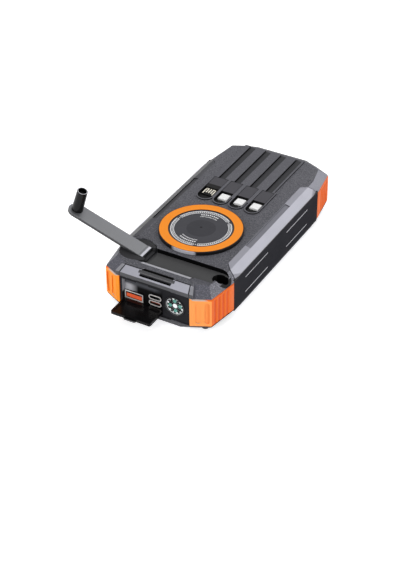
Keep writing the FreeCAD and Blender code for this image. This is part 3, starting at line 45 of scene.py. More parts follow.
# camera, floor and studio light
studio = {
    "cameraAt": (438.4, -797.4, 635.4),      # millimetres
    "cameraTurn": (53.928, 0.393, 29.445),   # degrees
    "lens": 102.755,
    "sensor": 36,
    "clip": (0.05, 20),                      # metres
    "aim": (0, 0, 20),
    "lamps": {                               # place, size, watts
        "topLight": ((-60, -60, 1300), 900, 3.8),
        "frontLight": ((-150, -950, 420), 700, 5.2),
        "leftLight": ((-950, -100, 300), 600, 1.2),
        "rightLight": ((950, -250, 350), 700, 2.4),
        "rimLight": ((410, 860, 730), 1000, 4.0),
    },
    "skyStrength": 0.34,                     # on dull surfaces; the backdrop itself is white at 1
    "skyLow": 0.5,                           # at the horizon, 1 overhead
    "skyRise": (0.1, 0.75),                  # where it starts and ends
    "floorGlow": 0.62,
    "floorHalf": 6,                          # metres
    "floorDrop": 0.0004,
    "floorColour": (0.86, 0.86, 0.87, 1),
}


def aimedLight(name, at, target, size, power):
    data = bpy.data.lights.new(name, "AREA")
    data.shape = "DISK"
    data.size = size * mm
    data.energy = power
    lamp = bpy.data.objects.new(name, data)
    place = Vector(at) * mm
    lamp.location = place
    lamp.rotation_euler = (Vector(target) * mm - place).to_track_quat("-Z", "Y").to_euler()
    scene.collection.objects.link(lamp)


# 1 for rays that end in the picture: straight to the camera, mirrored or through glass
def seenDirectly(nodes, links):
    path = nodes.new("ShaderNodeLightPath")
    total = path.outputs["Is Camera Ray"]
    for kind in ("Is Glossy Ray", "Is Transmission Ray"):
        either = nodes.new("ShaderNodeMath")
        either.operation = "MAXIMUM"
        links.new(total, either.inputs[0])
        links.new(path.outputs[kind], either.inputs[1])
        total = either.outputs[0]
    return total


def makeStudio():
    camera = bpy.data.objects.new("camera", bpy.data.cameras.new("camera"))
    camera.location = Vector(studio["cameraAt"]) * mm
    camera.rotation_euler = Euler([math.radians(a) for a in studio["cameraTurn"]])
    camera.data.lens = studio["lens"]
    camera.data.sensor_width = studio["sensor"]
    camera.data.clip_start, camera.data.clip_end = studio["clip"]
    scene.collection.objects.link(camera)
    scene.camera = camera

    for name, (at, size, power) in studio["lamps"].items():
        aimedLight(name, at, studio["aim"], size, power)

    world = bpy.data.worlds.new("softSky")
    scene.world = world
    world.use_nodes = True
    nodes, links = world.node_tree.nodes, world.node_tree.links
    sky = nodes["Background"]
    way = nodes.new("ShaderNodeTexCoord")
    split = nodes.new("ShaderNodeSeparateXYZ")
    fade = nodes.new("ShaderNodeMapRange")
    fade.inputs["From Min"].default_value, fade.inputs["From Max"].default_value = studio["skyRise"]
    fade.inputs["To Min"].default_value = studio["skyLow"]
    links.new(way.outputs["Generated"], split.inputs["Vector"])
    links.new(split.outputs["Z"], fade.inputs["Value"])
    links.new(fade.outputs["Result"], sky.inputs["Color"])
    strength = nodes.new("ShaderNodeMapRange")
    strength.inputs["To Min"].default_value = studio["skyStrength"]
    strength.inputs["To Max"].default_value = 1.0
    links.new(seenDirectly(nodes, links), strength.inputs["Value"])
    links.new(strength.outputs["Result"], sky.inputs["Strength"])

    bm = bmesh.new()
    bmesh.ops.create_grid(bm, x_segments=1, y_segments=1, size=studio["floorHalf"])
    bmesh.ops.translate(bm, verts=bm.verts, vec=(0, 0, -studio["floorDrop"]))
    mesh = bpy.data.meshes.new("floor")
    bm.to_mesh(mesh)
    bm.free()
    floor = bpy.data.objects.new("floor", mesh)
    scene.collection.objects.link(floor)
    paint = bpy.data.materials.new("floorWhite")
    paint.use_nodes = True
    nodes, links = paint.node_tree.nodes, paint.node_tree.links
    shader = nodes["Principled BSDF"]
    shader.inputs["Base Color"].default_value = studio["floorColour"]
    shader.inputs["Roughness"].default_value = 0.9
    shader.inputs["Specular IOR Level"].default_value = 0.0
    glow = nodes.new("ShaderNodeMath")
    glow.operation = "MULTIPLY"
    glow.inputs[1].default_value = studio["floorGlow"]
    shader.inputs["Emission Color"].default_value = (1, 1, 1, 1)
    links.new(seenDirectly(nodes, links), glow.inputs[0])
    links.new(glow.outputs[0], shader.inputs["Emission Strength"])
    mesh.materials.append(paint)


makeStudio()
print("studio ready")


# numbers that the finishes share; sizes in millimetres
surface = {
    "driftSize": 9,
    "roughDrift": (-0.04, 0.05),             # either side of a finish's roughness
    "brushDrift": (-0.08, 0.1),
    "brushSize": 0.35,
    "grainStops": ((0.35, (0.45, 0.45, 0.47, 1)), (0.65, (1.3, 1.3, 1.3, 1))),
    "grainDepth": 0.08,
    "coatRough": 0.1,
}


# colours as a painter would mix them, 0 to 255
def tone(r, g, b):
    return tuple(c / 255 / 12.92 if c <= 10 else ((c / 255 + 0.055) / 1.055) ** 2.4 for c in (r, g, b))


def noiseAt(nodes, links, size, detail=2.0, rough=0.5):
    coord = nodes.new("ShaderNodeTexCoord")
    noise = nodes.new("ShaderNodeTexNoise")
    noise.inputs["Scale"].default_value = 1 / (size * mm)
    noise.inputs["Detail"].default_value = detail
    noise.inputs["Roughness"].default_value = rough
    links.new(coord.outputs["Object"], noise.inputs["Vector"])
    return noise


def spread(nodes, links, source, low, high, fromLow=0.3, fromHigh=0.7):
    ranged = nodes.new("ShaderNodeMapRange")
    ranged.inputs["From Min"].default_value = fromLow
    ranged.inputs["From Max"].default_value = fromHigh
    ranged.inputs["To Min"].default_value = low
    ranged.inputs["To Max"].default_value = high
    links.new(source, ranged.inputs["Value"])
    return ranged.outputs["Result"]


# where a finish changes: each rule fades in from its first number to its second, in millimetres
# along X, Y, Z or a direction or out from a centre, or as the share of a facing direction or a fleck
def zoneMask(nodes, links, rules):
    mask = None
    for kind, start, full, *rest in rules:
        unit = mm
        if kind == "fleck":
            value = noiseAt(nodes, links, rest[0], 2, 0.6).outputs["Fac"]
            unit = 1
        elif kind == "radius":
            coord = nodes.new("ShaderNodeTexCoord")
            level = nodes.new("ShaderNodeVectorMath")
            level.operation = "MULTIPLY_ADD"
            level.inputs[1].default_value = (1, 1, 0)
            level.inputs[2].default_value = (-rest[0][0] * mm, -rest[0][1] * mm, 0)
            reach = nodes.new("ShaderNodeVectorMath")
            reach.operation = "LENGTH"
            links.new(coord.outputs["Object"], level.inputs[0])
            links.new(level.outputs["Vector"], reach.inputs[0])
            value = reach.outputs["Value"]
        elif kind == "along":
            coord = nodes.new("ShaderNodeTexCoord")
            reach = nodes.new("ShaderNodeVectorMath")
            reach.operation = "DOT_PRODUCT"
            reach.inputs[1].default_value = rest[0]
            links.new(coord.outputs["Object"], reach.inputs[0])
            value = reach.outputs["Value"]
        else:
            coord = nodes.new("ShaderNodeTexCoord")
            split = nodes.new("ShaderNodeSeparateXYZ")
            facing = kind.startswith("facing")
            links.new(coord.outputs["Normal" if facing else "Object"], split.inputs["Vector"])
            value = split.outputs[kind[-1]]
            unit = 1 if facing else mm
        step = nodes.new("ShaderNodeMapRange")
        step.inputs["From Min"].default_value = start * unit
        step.inputs["From Max"].default_value = full * unit
        links.new(value, step.inputs["Value"])
        if mask is None:
            mask = step.outputs["Result"]
        else:
            both = nodes.new("ShaderNodeMath")
            both.operation = "MULTIPLY"
            links.new(mask, both.inputs[0])
            links.new(step.outputs["Result"], both.inputs[1])
            mask = both.outputs[0]
    return mask


def blendValue(nodes, links, mask, below, above):
    mix = nodes.new("ShaderNodeMix")
    if isinstance(below, float):
        mix.inputs["A"].default_value = below
    else:
        links.new(below, mix.inputs["A"])
    mix.inputs["B"].default_value = above
    links.new(mask, mix.inputs["Factor"])
    return mix.outputs["Result"]


def makeFinish(name, look):
    mat = bpy.data.materials.new(name)
    mat.use_nodes = True
    nodes, links = mat.node_tree.nodes, mat.node_tree.links
    shader = nodes["Principled BSDF"]
    shader.inputs["Metallic"].default_value = look.get("metal", 0.0)
    shader.inputs["Specular IOR Level"].default_value = look.get("specular", 0.5)
    shader.inputs["Coat Weight"].default_value = look.get("coat", 0.0)
    shader.inputs["Coat Roughness"].default_value = surface["coatRough"]
    if "glass" in look:
        shader.inputs["Transmission Weight"].default_value = look["glass"]
        shader.inputs["IOR"].default_value = look.get("ior", 1.45)
    if "glow" in look:
        shader.inputs["Emission Color"].default_value = (*tone(*look["colour"]), 1)
        shader.inputs["Emission Strength"].default_value = look["glow"]
    rough = look.get("rough", 0.5)
    drift = noiseAt(nodes, links, look.get("driftSize", surface["driftSize"]), 3)
    mix = nodes.new("ShaderNodeMix")
    mix.data_type = "RGBA"
    vary = look.get("vary", 0.06)
    base = tone(*look["colour"])
    mix.inputs["A"].default_value = (*[c * (1 - vary) for c in base], 1)
    mix.inputs["B"].default_value = (*[min(1, c * (1 + vary)) for c in base], 1)
    links.new(drift.outputs["Fac"], mix.inputs["Factor"])
    colour = mix.outputs["Result"]
    if "grain" in look:
        grain = noiseAt(nodes, links, look.get("grainSize", 0.5), 2, 0.6)
        speck = nodes.new("ShaderNodeMix")
        speck.data_type = "RGBA"
        speck.blend_type = "MULTIPLY"
        speck.inputs["Factor"].default_value = look.get("speck", 0.25)
        links.new(colour, speck.inputs["A"])
        ramp = nodes.new("ShaderNodeValToRGB")
        for stop, (place, shade) in zip(ramp.color_ramp.elements, surface["grainStops"]):
            stop.position = place
            stop.color = shade
        links.new(grain.outputs["Fac"], ramp.inputs["Fac"])
        links.new(ramp.outputs["Color"], speck.inputs["B"])
        colour = speck.outputs["Result"]
        bump = nodes.new("ShaderNodeBump")
        bump.inputs["Strength"].default_value = look["grain"]
        bump.inputs["Distance"].default_value = surface["grainDepth"] * mm
        links.new(grain.outputs["Fac"], bump.inputs["Height"])
        links.new(bump.outputs["Normal"], shader.inputs["Normal"])
    if "lines" in look:
        pitch, width, shade = look["lines"]
        coord = nodes.new("ShaderNodeTexCoord")
        wave = nodes.new("ShaderNodeTexWave")
        wave.inputs["Scale"].default_value = math.pi / 10 / (pitch * mm)    # the node draws 10 / pi lines a unit
        links.new(coord.outputs["Object"], wave.inputs["Vector"])
        thin = spread(nodes, links, wave.outputs["Fac"], 0, 1, 1 - 2 * width, 1 - width)
        drawn = nodes.new("ShaderNodeMix")
        drawn.data_type = "RGBA"
        drawn.inputs["B"].default_value = (*tone(*shade), 1)
        links.new(thin, drawn.inputs["Factor"])
        links.new(colour, drawn.inputs["A"])
        colour = drawn.outputs["Result"]
    if "brush" in look:
        coord = nodes.new("ShaderNodeTexCoord")
        turn = nodes.new("ShaderNodeMapping")
        turn.inputs["Scale"].default_value = look["brush"]
        streak = nodes.new("ShaderNodeTexNoise")
        streak.inputs["Scale"].default_value = 1 / (surface["brushSize"] * mm)
        streak.inputs["Detail"].default_value = 3
        links.new(coord.outputs["Object"], turn.inputs["Vector"])
        links.new(turn.outputs["Vector"], streak.inputs["Vector"])
        less, more = surface["brushDrift"]
        roughness = spread(nodes, links, streak.outputs["Fac"], rough + less, rough + more)
    else:
        less, more = surface["roughDrift"]
        roughness = spread(nodes, links, drift.outputs["Fac"], rough + less, rough + more)
    metal = look.get("metal", 0.0)
    shine = look.get("specular", 0.5)
    for zone in look.get("zones", ()):
        mask = zoneMask(nodes, links, zone["where"])
        over = nodes.new("ShaderNodeMix")
        over.data_type = "RGBA"
        over.inputs["B"].default_value = (*tone(*zone["colour"]), 1)
        links.new(mask, over.inputs["Factor"])
        links.new(colour, over.inputs["A"])
        colour = over.outputs["Result"]
        if "rough" in zone:
            roughness = blendValue(nodes, links, mask, roughness, zone["rough"])
        if "metal" in zone:
            metal = blendValue(nodes, links, mask, metal, zone["metal"])
        if "specular" in zone:
            shine = blendValue(nodes, links, mask, shine, zone["specular"])
    if not isinstance(metal, float):
        links.new(metal, shader.inputs["Metallic"])
    if not isinstance(shine, float):
        links.new(shine, shader.inputs["Specular IOR Level"])
    links.new(roughness, shader.inputs["Roughness"])
    links.new(colour, shader.inputs["Base Color"])
    return mat


# places that several zones share
topSlope = [("facingZ", 0.93, 0.9), ("facingZ", 0.3, 0.4)]
underSlope = [("facingZ", -0.93, -0.9), ("facingZ", -0.3, -0.4)]
rightSlope = [("facingZ", 0.93, 0.9), ("facingX", 0.3, 0.36)]
leftSlope = [("facingZ", 0.93, 0.9), ("facingX", -0.3, -0.36)]
frontFace = ("facingY", -0.7, -0.85)
slopeFleck = ("fleck", 0.52, 0.66, 0.6)

finishes = {
    "charcoalGrain": {
        "colour": (82, 82, 88), "rough": 0.62, "grain": 0.5, "grainSize": 0.55, "speck": 0.3, "specular": 0.25,
        "zones": [
            # painted light: the shell a little lighter towards the rear
            {"colour": (96, 96, 102), "where": [("Y", -60, 80)]},
            {"colour": (112, 112, 118), "where": [("fleck", 0.56, 0.66, 0.9)]},
            {"colour": (62, 62, 66), "where": [("fleck", 0.44, 0.35, 0.9)]},
            # sloped facets of the corner pads, each painted a tone by the way it faces: painted light and shade;
            # the flecks on them are grain, their brightness painted light too
            {"colour": (78, 78, 86), "where": topSlope},
            {"colour": (112, 112, 122), "where": [*topSlope, slopeFleck]},
            {"colour": (108, 108, 116), "where": rightSlope},
            {"colour": (120, 120, 126), "where": leftSlope},
            {"colour": (152, 152, 162), "where": [*rightSlope, ("Y", 0, 1)]},
            {"colour": (168, 168, 176), "where": [*rightSlope, slopeFleck]},
            {"colour": (104, 104, 110), "where": underSlope},
            {"colour": (150, 150, 158), "where": [*underSlope, slopeFleck]},
            {"colour": (66, 66, 67), "where": [  # floor of the crank's slot, painted darker than the shell as shade
                ("Z", 33.2, 33.0), ("facingZ", 0.96, 0.98), ("X", -26.2, -26.0), ("X", 40.0, 39.8),
                ("Y", -77.2, -77.0), ("Y", -58.2, -58.4)]},
            {"colour": (8, 8, 9), "specular": 0.02, "where": [     # and its rear wall, painted near black as shadow
                ("facingY", -0.5, -0.7), ("Z", 33.98, 33.9), ("X", -26.2, -26.0),
                ("Y", -62.0, -61.8), ("Y", -55.0, -55.2)]},
            {"colour": (12, 12, 13), "where": [  # joints round the front trims
                ("Y", -83.05, -83.15), ("X", -24.5, -24.4), ("X", 24.5, 24.4), ("Z", 28.2, 28.3)]},
            {"colour": (12, 12, 13), "where": [
                ("Y", -84.5, -84.6), ("X", -26.0, -25.9), ("X", 26.0, 25.9), ("Z", 28.2, 28.3)]},
            {"colour": (7, 7, 8), "where": [  # knob's well, painted near black as shade
                ("Z", 30.75, 30.65), ("radius", 7.4, 7.2, (34.8, -65.1))]},
            {"colour": (10, 10, 11), "where": [  # pockets of the plugs, painted near black as shade
                ("Z", 33.75, 33.55), ("X", -26.0, -25.8), ("X", 25.0, 24.8),
                ("Y", 5.0, 5.2), ("Y", 90.0, 89.0)]},
            {"colour": (10, 10, 11), "where": [  # pocket of the strap, painted near black as shade
                ("Z", 33.8, 33.6), ("X", -12.2, -12.0), ("X", 12.2, 12.0), ("Y", -81.4, -81.6)]},
        ]},
    "deckGrain": {
        "colour": (92, 92, 98), "rough": 0.58, "grain": 0.4, "grainSize": 0.45, "speck": 0.25, "specular": 0.25,
        "zones": [
            {"colour": (112, 112, 118), "where": [("fleck", 0.58, 0.68, 0.8)]},
            # the deck's walls painted near black: painted shade
            {"colour": (12, 12, 13), "where": [("facingZ", 0.6, 0.4)]},
        ]},
    "sideBlack": {
        "colour": (42, 42, 47), "rough": 0.7, "grain": 0.3, "grainSize": 0.7, "speck": 0.2, "specular": 0.03},
    "plateBlack": {
        "colour": (32, 32, 35), "rough": 0.45, "grain": 0.25, "grainSize": 0.7, "specular": 0.06,
        "zones": [
            # inside of the bay painted darker: painted shade
            {"colour": (15, 15, 16), "where": [("Y", -88.3, -88.2)]},
            {"colour": (178, 178, 184), "rough": 0.3, "where": [  # painted reflection on the rear of the bay, bright to the left
                ("Y", -88.3, -88.2), ("X", -14.5, -20.0), ("Z", 14.5, 16.0)]},
            {"colour": (74, 75, 80), "where": [  # and a dim band of the painted reflection to the right
                ("Y", -85.0, -84.9), ("Z", 19.5, 21.5), ("Z", 24.5, 22.5), ("X", 4, -2)]},
        ]},
    "torchBlack": {"colour": (34, 34, 37), "rough": 0.45, "grain": 0.25, "grainSize": 0.7, "specular": 0.15},
    "satinBlack": {"colour": (26, 26, 28), "rough": 0.38, "vary": 0.1, "specular": 0.25},
    "barBlack": {"colour": (46, 46, 50), "rough": 0.3, "specular": 0.5},
    "padBlack": {
        "colour": (16, 16, 17), "rough": 0.4, "specular": 0.2,
        "zones": [{"colour": (176, 176, 184), "where": [  # painted highlight on the pad's side, under the ring
            ("Y", -53.6, -54.0), ("X", -7.0, -4.0), ("X", 12.5, 9.0), ("Z", 34.1, 34.4)]}]},
    "turnBlack": {"colour": (50, 50, 52), "rough": 0.55, "grain": 0.15, "grainSize": 0.6, "specular": 0.12},
    "knobBlack": {"colour": (12, 12, 13), "rough": 0.24, "specular": 0.16},
    "coverBlack": {
        "colour": (14, 13, 14), "rough": 0.22, "specular": 0.14,
        # pale front edge: painted highlight
        "zones": [{"colour": (112, 112, 114), "where": [("Y", -104.5, -104.7), ("facingZ", 0.8, 0.6)]}]},
    "deepBlack": {"colour": (10, 10, 11), "rough": 0.35, "specular": 0.15},
    "railSilver": {
        "colour": (142, 142, 150), "rough": 0.36, "metal": 0.75, "vary": 0.03,
        "grain": 0.06, "grainSize": 0.3, "speck": 0.06,
        "zones": [
            # tones by facet: inner facets darker than outer, the upper left rail much darker with its outer
            # facet darkest but for a thin edge, the middle of each inner facet darker again; all painted shade
            {"colour": (130, 130, 138), "where": [("X", 37.2, 37.1), ("X", 0, 1)]},
            {"colour": (76, 76, 82), "where": [("X", -37.2, -37.1), ("X", 0, -1), ("Z", 20, 21)]},
            {"colour": (34, 34, 37), "where": [("X", -41.4, -41.3), ("X", -37.1, -37.2), ("Z", 20, 21)]},
            {"colour": (100, 100, 107), "where": [
                ("Y", -28.3, -28.2), ("Y", 28.3, 28.2), ("X", 37.15, 37.05), ("X", 0, 1)]},
            {"colour": (60, 60, 64), "where": [
                ("Y", -28.3, -28.2), ("Y", 28.3, 28.2), ("X", -37.15, -37.05), ("X", 0, -1)]},
        ]},
    "trimSilver": {
        "colour": (150, 150, 159), "rough": 0.36, "metal": 0.7, "vary": 0.03,
        "grain": 0.06, "grainSize": 0.3, "speck": 0.06,
        "zones": [
            {"colour": (124, 124, 130), "metal": 0.2, "where": [("X", 24.9, 25.0)]},
            {"colour": (124, 124, 130), "metal": 0.2, "where": [("X", -24.9, -25.0)]},
            # faces that look straight to the front painted dark and dull: painted shade
            {"colour": (62, 62, 66), "metal": 0.0, "rough": 0.5, "where": [("facingY", -0.8, -0.9)]},
        ]},
    "rearTrim": {
        "colour": (176, 176, 186), "rough": 0.36, "metal": 0.7, "vary": 0.03,
        "grain": 0.2, "grainSize": 0.5, "speck": 0.2,
        "zones": [{"colour": (88, 88, 94), "metal": 0.0, "rough": 0.6, "where": [("Z", 16.9, 17.1)]}]},
    "silverPaint": {
        "colour": (186, 186, 194), "rough": 0.4, "metal": 0.5, "vary": 0.03,
        "grain": 0.06, "grainSize": 0.3, "speck": 0.06},
    "orangeRubber": {
        "colour": (255, 114, 24), "rough": 0.5, "vary": 0.05, "specular": 0.3,
        "grain": 0.15, "grainSize": 0.6, "speck": 0.08,
        "zones": [
            # front faces painted paler than the sides: painted light
            {"colour": (255, 160, 80), "where": [frontFace, ("X", 0, 1)]},
            {"colour": (255, 150, 26), "where": [frontFace, ("X", 0, -1)]},
            {"colour": (240, 132, 58), "where": [  # flutes of the front, painted darker as shade
                frontFace, ("X", 0, 1), ("along", 92.2, 92.0, (0.363, -0.932, 0))]},
            {"colour": (238, 122, 20), "where": [
                frontFace, ("X", 0, -1), ("along", 92.2, 92.0, (-0.363, -0.932, 0))]},
            *({"colour": (240, 94, 12), "where": [  # flutes of the sides, painted darker as shade
                ("facingX", 0.8 * side, 0.9 * side), ("along", 50.4, 50.15, (0.99 * side, 0.14 * end, 0)),
                ("Y", 0, end)]} for side in (1, -1) for end in (-1, 1)),
            {"colour": (206, 184, 172), "where": [("facingZ", 0.25, 0.4), ("Y", -84.5, -85.5)]},  # pale upper and lower bevels of the front: painted highlights
            {"colour": (206, 184, 172), "where": [("facingZ", -0.25, -0.4), ("Y", -84.5, -85.5)]},
        ]},
    "orangeRing": {
        "colour": (255, 148, 36), "rough": 0.55, "vary": 0.03, "specular": 0.25,
        "grain": 0.1, "grainSize": 0.4, "speck": 0.06,
        "zones": [
            {"colour": (24, 20, 18), "where": [("radius", 21.85, 21.75, (0, -27.6))]},
            {"colour": (60, 36, 20), "where": [("radius", 27.55, 27.65, (0, -27.6))]},
        ]},
    "padRubber": {
        "colour": (66, 66, 71), "rough": 0.6, "grain": 0.3, "grainSize": 0.4, "speck": 0.15, "specular": 0.2,
        "zones": [
            {"colour": (55, 55, 60), "where": [("radius", 9.9, 9.6, (0, -27.6))]},
            {"colour": (14, 14, 15), "where": [("radius", 0.9, 0.7, (0, -27.6))]},
        ]},
    "leadRubber": {
        "colour": (54, 54, 57), "rough": 0.55, "grain": 0.15, "grainSize": 0.5, "speck": 0.1, "specular": 0.2,
        "zones": [
            {"colour": (73, 72, 77), "where": [("Y", 34.7, 34.5), ("Z", 33.6, 34.0)]},
            {"colour": (9, 9, 10), "where": [("Y", 21.2, 21.0)]},
            {"colour": (9, 9, 10), "where": [("Y", 25.2, 25.0), ("X", -13.0, -13.2)]},
            # side walls painted near black: painted shade
            {"colour": (14, 14, 15), "where": [("facingZ", 0.6, 0.4)]},
        ]},
    "whitePlastic": {"colour": (250, 250, 250), "rough": 0.3, "vary": 0.01},
    "armPaint": {
        "colour": (120, 121, 124), "rough": 0.36, "metal": 0.5, "vary": 0.05,
        "grain": 0.12, "grainSize": 0.35, "speck": 0.1,
        # sides painted dark against the grey top: painted shade
        "zones": [{"colour": (34, 35, 37), "metal": 0.0, "rough": 0.5, "where": [("facingZ", 0.75, 0.6)]}]},
    "steel": {"colour": (196, 197, 200), "rough": 0.28, "metal": 1.0, "brush": (1, 8, 1)},
    "darkSteel": {"colour": (42, 42, 44), "rough": 0.4, "metal": 0.6},
    "rimSteel": {"colour": (226, 222, 220), "rough": 0.35, "metal": 0.4, "vary": 0.02},
    "creamContact": {"colour": (244, 238, 222), "rough": 0.4, "vary": 0.02},
    "tongueOrange": {
        "colour": (244, 104, 62), "rough": 0.45, "specular": 0.2,
        # top faces painted near black: painted shade
        "zones": [{"colour": (12, 10, 10), "where": [("facingZ", 0.5, 0.7)]}]},
    "tongueRust": {
        "colour": (150, 72, 52), "rough": 0.45, "specular": 0.2,
        # the upper tongue painted near black: painted shade
        "zones": [{"colour": (9, 9, 10), "where": [("Z", 14.3, 14.5)]}]},
    "clearGlass": {"colour": (250, 252, 252), "rough": 0.05, "glass": 1.0, "vary": 0.0},
    "compassClear": {
        "colour": (250, 252, 252), "rough": 0.05, "glass": 1.0, "vary": 0.0, "ior": 1.15, "specular": 0.1},
    "mirror": {"colour": (232, 234, 238), "rough": 0.08, "metal": 1.0, "vary": 0.01},
    "ledWhite": {"colour": (255, 244, 200), "rough": 0.3, "glow": 0.6},
    "ledRed": {
        "colour": (226, 14, 22), "rough": 0.2, "glow": 0.55, "coat": 0.4,
        "zones": [{"colour": (255, 214, 200), "where": [("Y", 90.5, 91.0)]}]},
    "dialDark": {"colour": (16, 17, 18), "rough": 0.4, "specular": 0.2},
    "solarCell": {
        "colour": (52, 53, 58), "rough": 0.4, "vary": 0.12, "driftSize": 20, "specular": 0.2,
        "lines": (1.0, 0.2, (92, 92, 96))},  # pitch, share of it and colour
    "boardGreen": {"colour": (26, 84, 52), "rough": 0.35, "coat": 0.4},
    "foil": {"colour": (190, 192, 196), "rough": 0.3, "metal": 0.9},
    "copper": {"colour": (196, 112, 64), "rough": 0.35, "metal": 1.0, "brush": (1, 1, 6)},
    "printWhite": {"colour": (236, 236, 238), "rough": 0.5, "vary": 0.02, "specular": 0.2},
    # pale grey of the side inlays, and of the knob's painted rim highlight
    "inlayAndHighlightGrey": {"colour": (206, 206, 212), "rough": 0.4, "vary": 0.03},
    # pale grey of the slot lip's painted highlight
    "lipHighlightGrey": {"colour": (168, 168, 174), "rough": 0.45, "vary": 0.03, "specular": 0.3},
    "petalGreen": {"colour": (86, 150, 138), "rough": 0.4, "specular": 0.2},
    "gearNylon": {"colour": (222, 218, 202), "rough": 0.5, "vary": 0.03},
}
paints = {name: makeFinish(name, look) for name, look in finishes.items()}

nodeFinish = {
    "top_shell": "charcoalGrain", "bottom_shell": "charcoalGrain",
    "left_side_panel": "sideBlack", "right_side_panel": "sideBlack",
    "top_rails": "railSilver", "bottom_rails": "railSilver",
    "front_left_bumper": "orangeRubber", "front_right_bumper": "orangeRubber",
    "rear_left_bumper": "orangeRubber", "rear_right_bumper": "orangeRubber",
    "port_plate": "plateBlack", "torch_plate": "torchBlack",
    "front_trims": "trimSilver", "rear_trims": "rearTrim", "lanyard_bar": "barBlack",
    "usb_a_socket": "deepBlack", "usb_a_tongue": "tongueOrange",
    "usb_c_sockets": "deepBlack", "usb_c_tongues": "tongueRust",
    "compass_case": "satinBlack", "compass_dial": "dialDark",
    "compass_needle": "petalGreen", "compass_glass": "compassClear",
    "torch_reflectors": "mirror", "torch_lenses": "clearGlass",
    "torch_leds": "ledWhite", "warning_led": "ledRed",
    "charging_pad": "padBlack", "pad_ring": "orangeRing", "pad_disc": "padRubber",
    "wireless_coil": "copper", "magnet_ring": "steel",
    "cable_deck": "deckGrain", "charging_leads": "leadRubber",
    "usb_a_plug": "deepBlack", "lead_plugs": "whitePlastic",
    "solar_frame": "satinBlack", "solar_glass": "clearGlass",
    "solar_cells": "solarCell", "solar_board": "deepBlack",
    "battery_cells": "foil", "main_board": "boardGreen",
    "generator_can": "steel", "stator_coils": "copper", "gearbox_plate": "gearNylon", "idler_axle": "steel",
    "shell_screws": "darkSteel", "charge_lights": "ledWhite",
    "turntable": "turnBlack", "drive_gear": "gearNylon", "crank_screw": "steel", "arm_pin": "steel",
    "crank_arm": "armPaint", "knob_stud": "deepBlack", "knob": "knobBlack",
    "idler_gear": "gearNylon", "generator_rotor": "steel",
    "port_cover": "coverBlack", "cover_pin": "steel", "power_button": "satinBlack",
}
for node, finish in nodeFinish.items():
    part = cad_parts[node]
    part.data.materials.clear()
    part.data.materials.append(paints[finish])
print("finishes on", len(nodeFinish), "nodes")


# shaping helpers, in millimetres
arcStep = 3                                  # degrees


def arcBand(bm, inner, outer, start, sweep, steps=None):
    ends = [bm.verts.new((r * math.cos(start), r * math.sin(start), 0)) for r in (inner, outer)]
    edge = bm.edges.new(ends)
    full = abs(sweep) > 2 * math.pi - 1e-6
    steps = steps or max(2, round(abs(sweep) / math.radians(arcStep)))
    bmesh.ops.spin(
        bm, geom=ends + [edge], cent=(0, 0, 0), axis=(0, 0, 1), angle=sweep, steps=steps, use_merge=full)


def block(bm, low, high):
    verts = bmesh.ops.create_cube(bm, size=1)["verts"]
    size = Vector(high) - Vector(low)
    bmesh.ops.scale(bm, verts=verts, vec=size)
    bmesh.ops.translate(bm, verts=verts, vec=Vector(low) + size / 2)
    return verts


def softBlock(bm, low, high, edge):
    edges = list(dict.fromkeys(e for v in block(bm, low, high) for e in v.link_edges))
    bmesh.ops.bevel(
        bm, geom=edges, offset=edge, offset_type="OFFSET", affect="EDGES", segments=2, profile=0.5, material=-1)


def disc(bm, x, y, z, radius, segments):
    verts = bmesh.ops.create_circle(bm, cap_ends=True, segments=segments, radius=radius)["verts"]
    bmesh.ops.translate(bm, verts=verts, vec=(x, y, z))
    return verts


def liftNew(bm, made, by):
    bmesh.ops.translate(bm, verts=[g for g in made["geom"] if isinstance(g, bmesh.types.BMVert)], vec=by)


def thicken(bm, depth):
    liftNew(bm, bmesh.ops.extrude_face_region(bm, geom=list(bm.faces)), (0, 0, depth))
    bmesh.ops.recalc_face_normals(bm, faces=bm.faces)


# where a flat shape drawn on x and y goes when it faces the front, or is tilted about the arm's axis
def facingFront(place):
    return Matrix.Translation(place) @ Matrix.Rotation(math.radians(90), 4, "X")


def tilted(axis, rise):
    turn = Matrix.Rotation(math.radians(rise), 4, "Y")
    return Matrix.Translation(axis) @ turn @ Matrix.Translation(-Vector(axis))


def setPiece(bm, name, finish, body, place=None):
    if place is not None:
        bmesh.ops.transform(bm, matrix=place, verts=bm.verts)
    bmesh.ops.scale(bm, verts=bm.verts, vec=(mm, mm, mm))
    mesh = bpy.data.meshes.new(name)
    bm.to_mesh(mesh)
    bm.free()
    piece = bpy.data.objects.new(name, mesh)
    scene.collection.objects.link(piece)
    mesh.materials.append(paints[finish])
    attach(piece, body)
    return piece


# printed rings and marks on the soft middle of the pad
padPrint = {
    "centre": (0, -27.6, 36.22),
    "thick": 0.04,
    "rings": ((19.75, 20.35), (17.9, 18.3)),
    "arcs": 3,                               # a ring's
    "arcStart": 0.9,                         # radians
    "arcGap": 0.14,
    "ticks": (18.65, 19.4),
    "tickCount": 84,
    "tickShare": 0.5,
    # radii, count, and pitch and width in degrees
    "barRows": ((15.4, 16.5, 9, 5.2, 3.4), (13.4, 14.1, 13, 4.0, 2.4)),
    "barMiddles": (95, 262),
}


def makePadPrint():
    look = padPrint
    bm = bmesh.new()
    share = 2 * math.pi / look["arcs"]
    for inner, outer in look["rings"]:
        for i in range(look["arcs"]):
            arcBand(bm, inner, outer, i * share + look["arcStart"], share - look["arcGap"])
    step = 2 * math.pi / look["tickCount"]
    for i in range(look["tickCount"]):
        arcBand(bm, *look["ticks"], i * step, step * look["tickShare"], steps=1)
    for inner, outer, count, pitch, wide in look["barRows"]:
        for turn in look["barMiddles"]:
            for i in range(count):
                start = math.radians(turn + (i - (count - 1) / 2) * pitch)
                arcBand(bm, inner, outer, start, math.radians(wide), steps=2)
    thicken(bm, look["thick"])
    setPiece(bm, "padPrint", "printWhite", "housing", Matrix.Translation(look["centre"]))


makePadPrint()

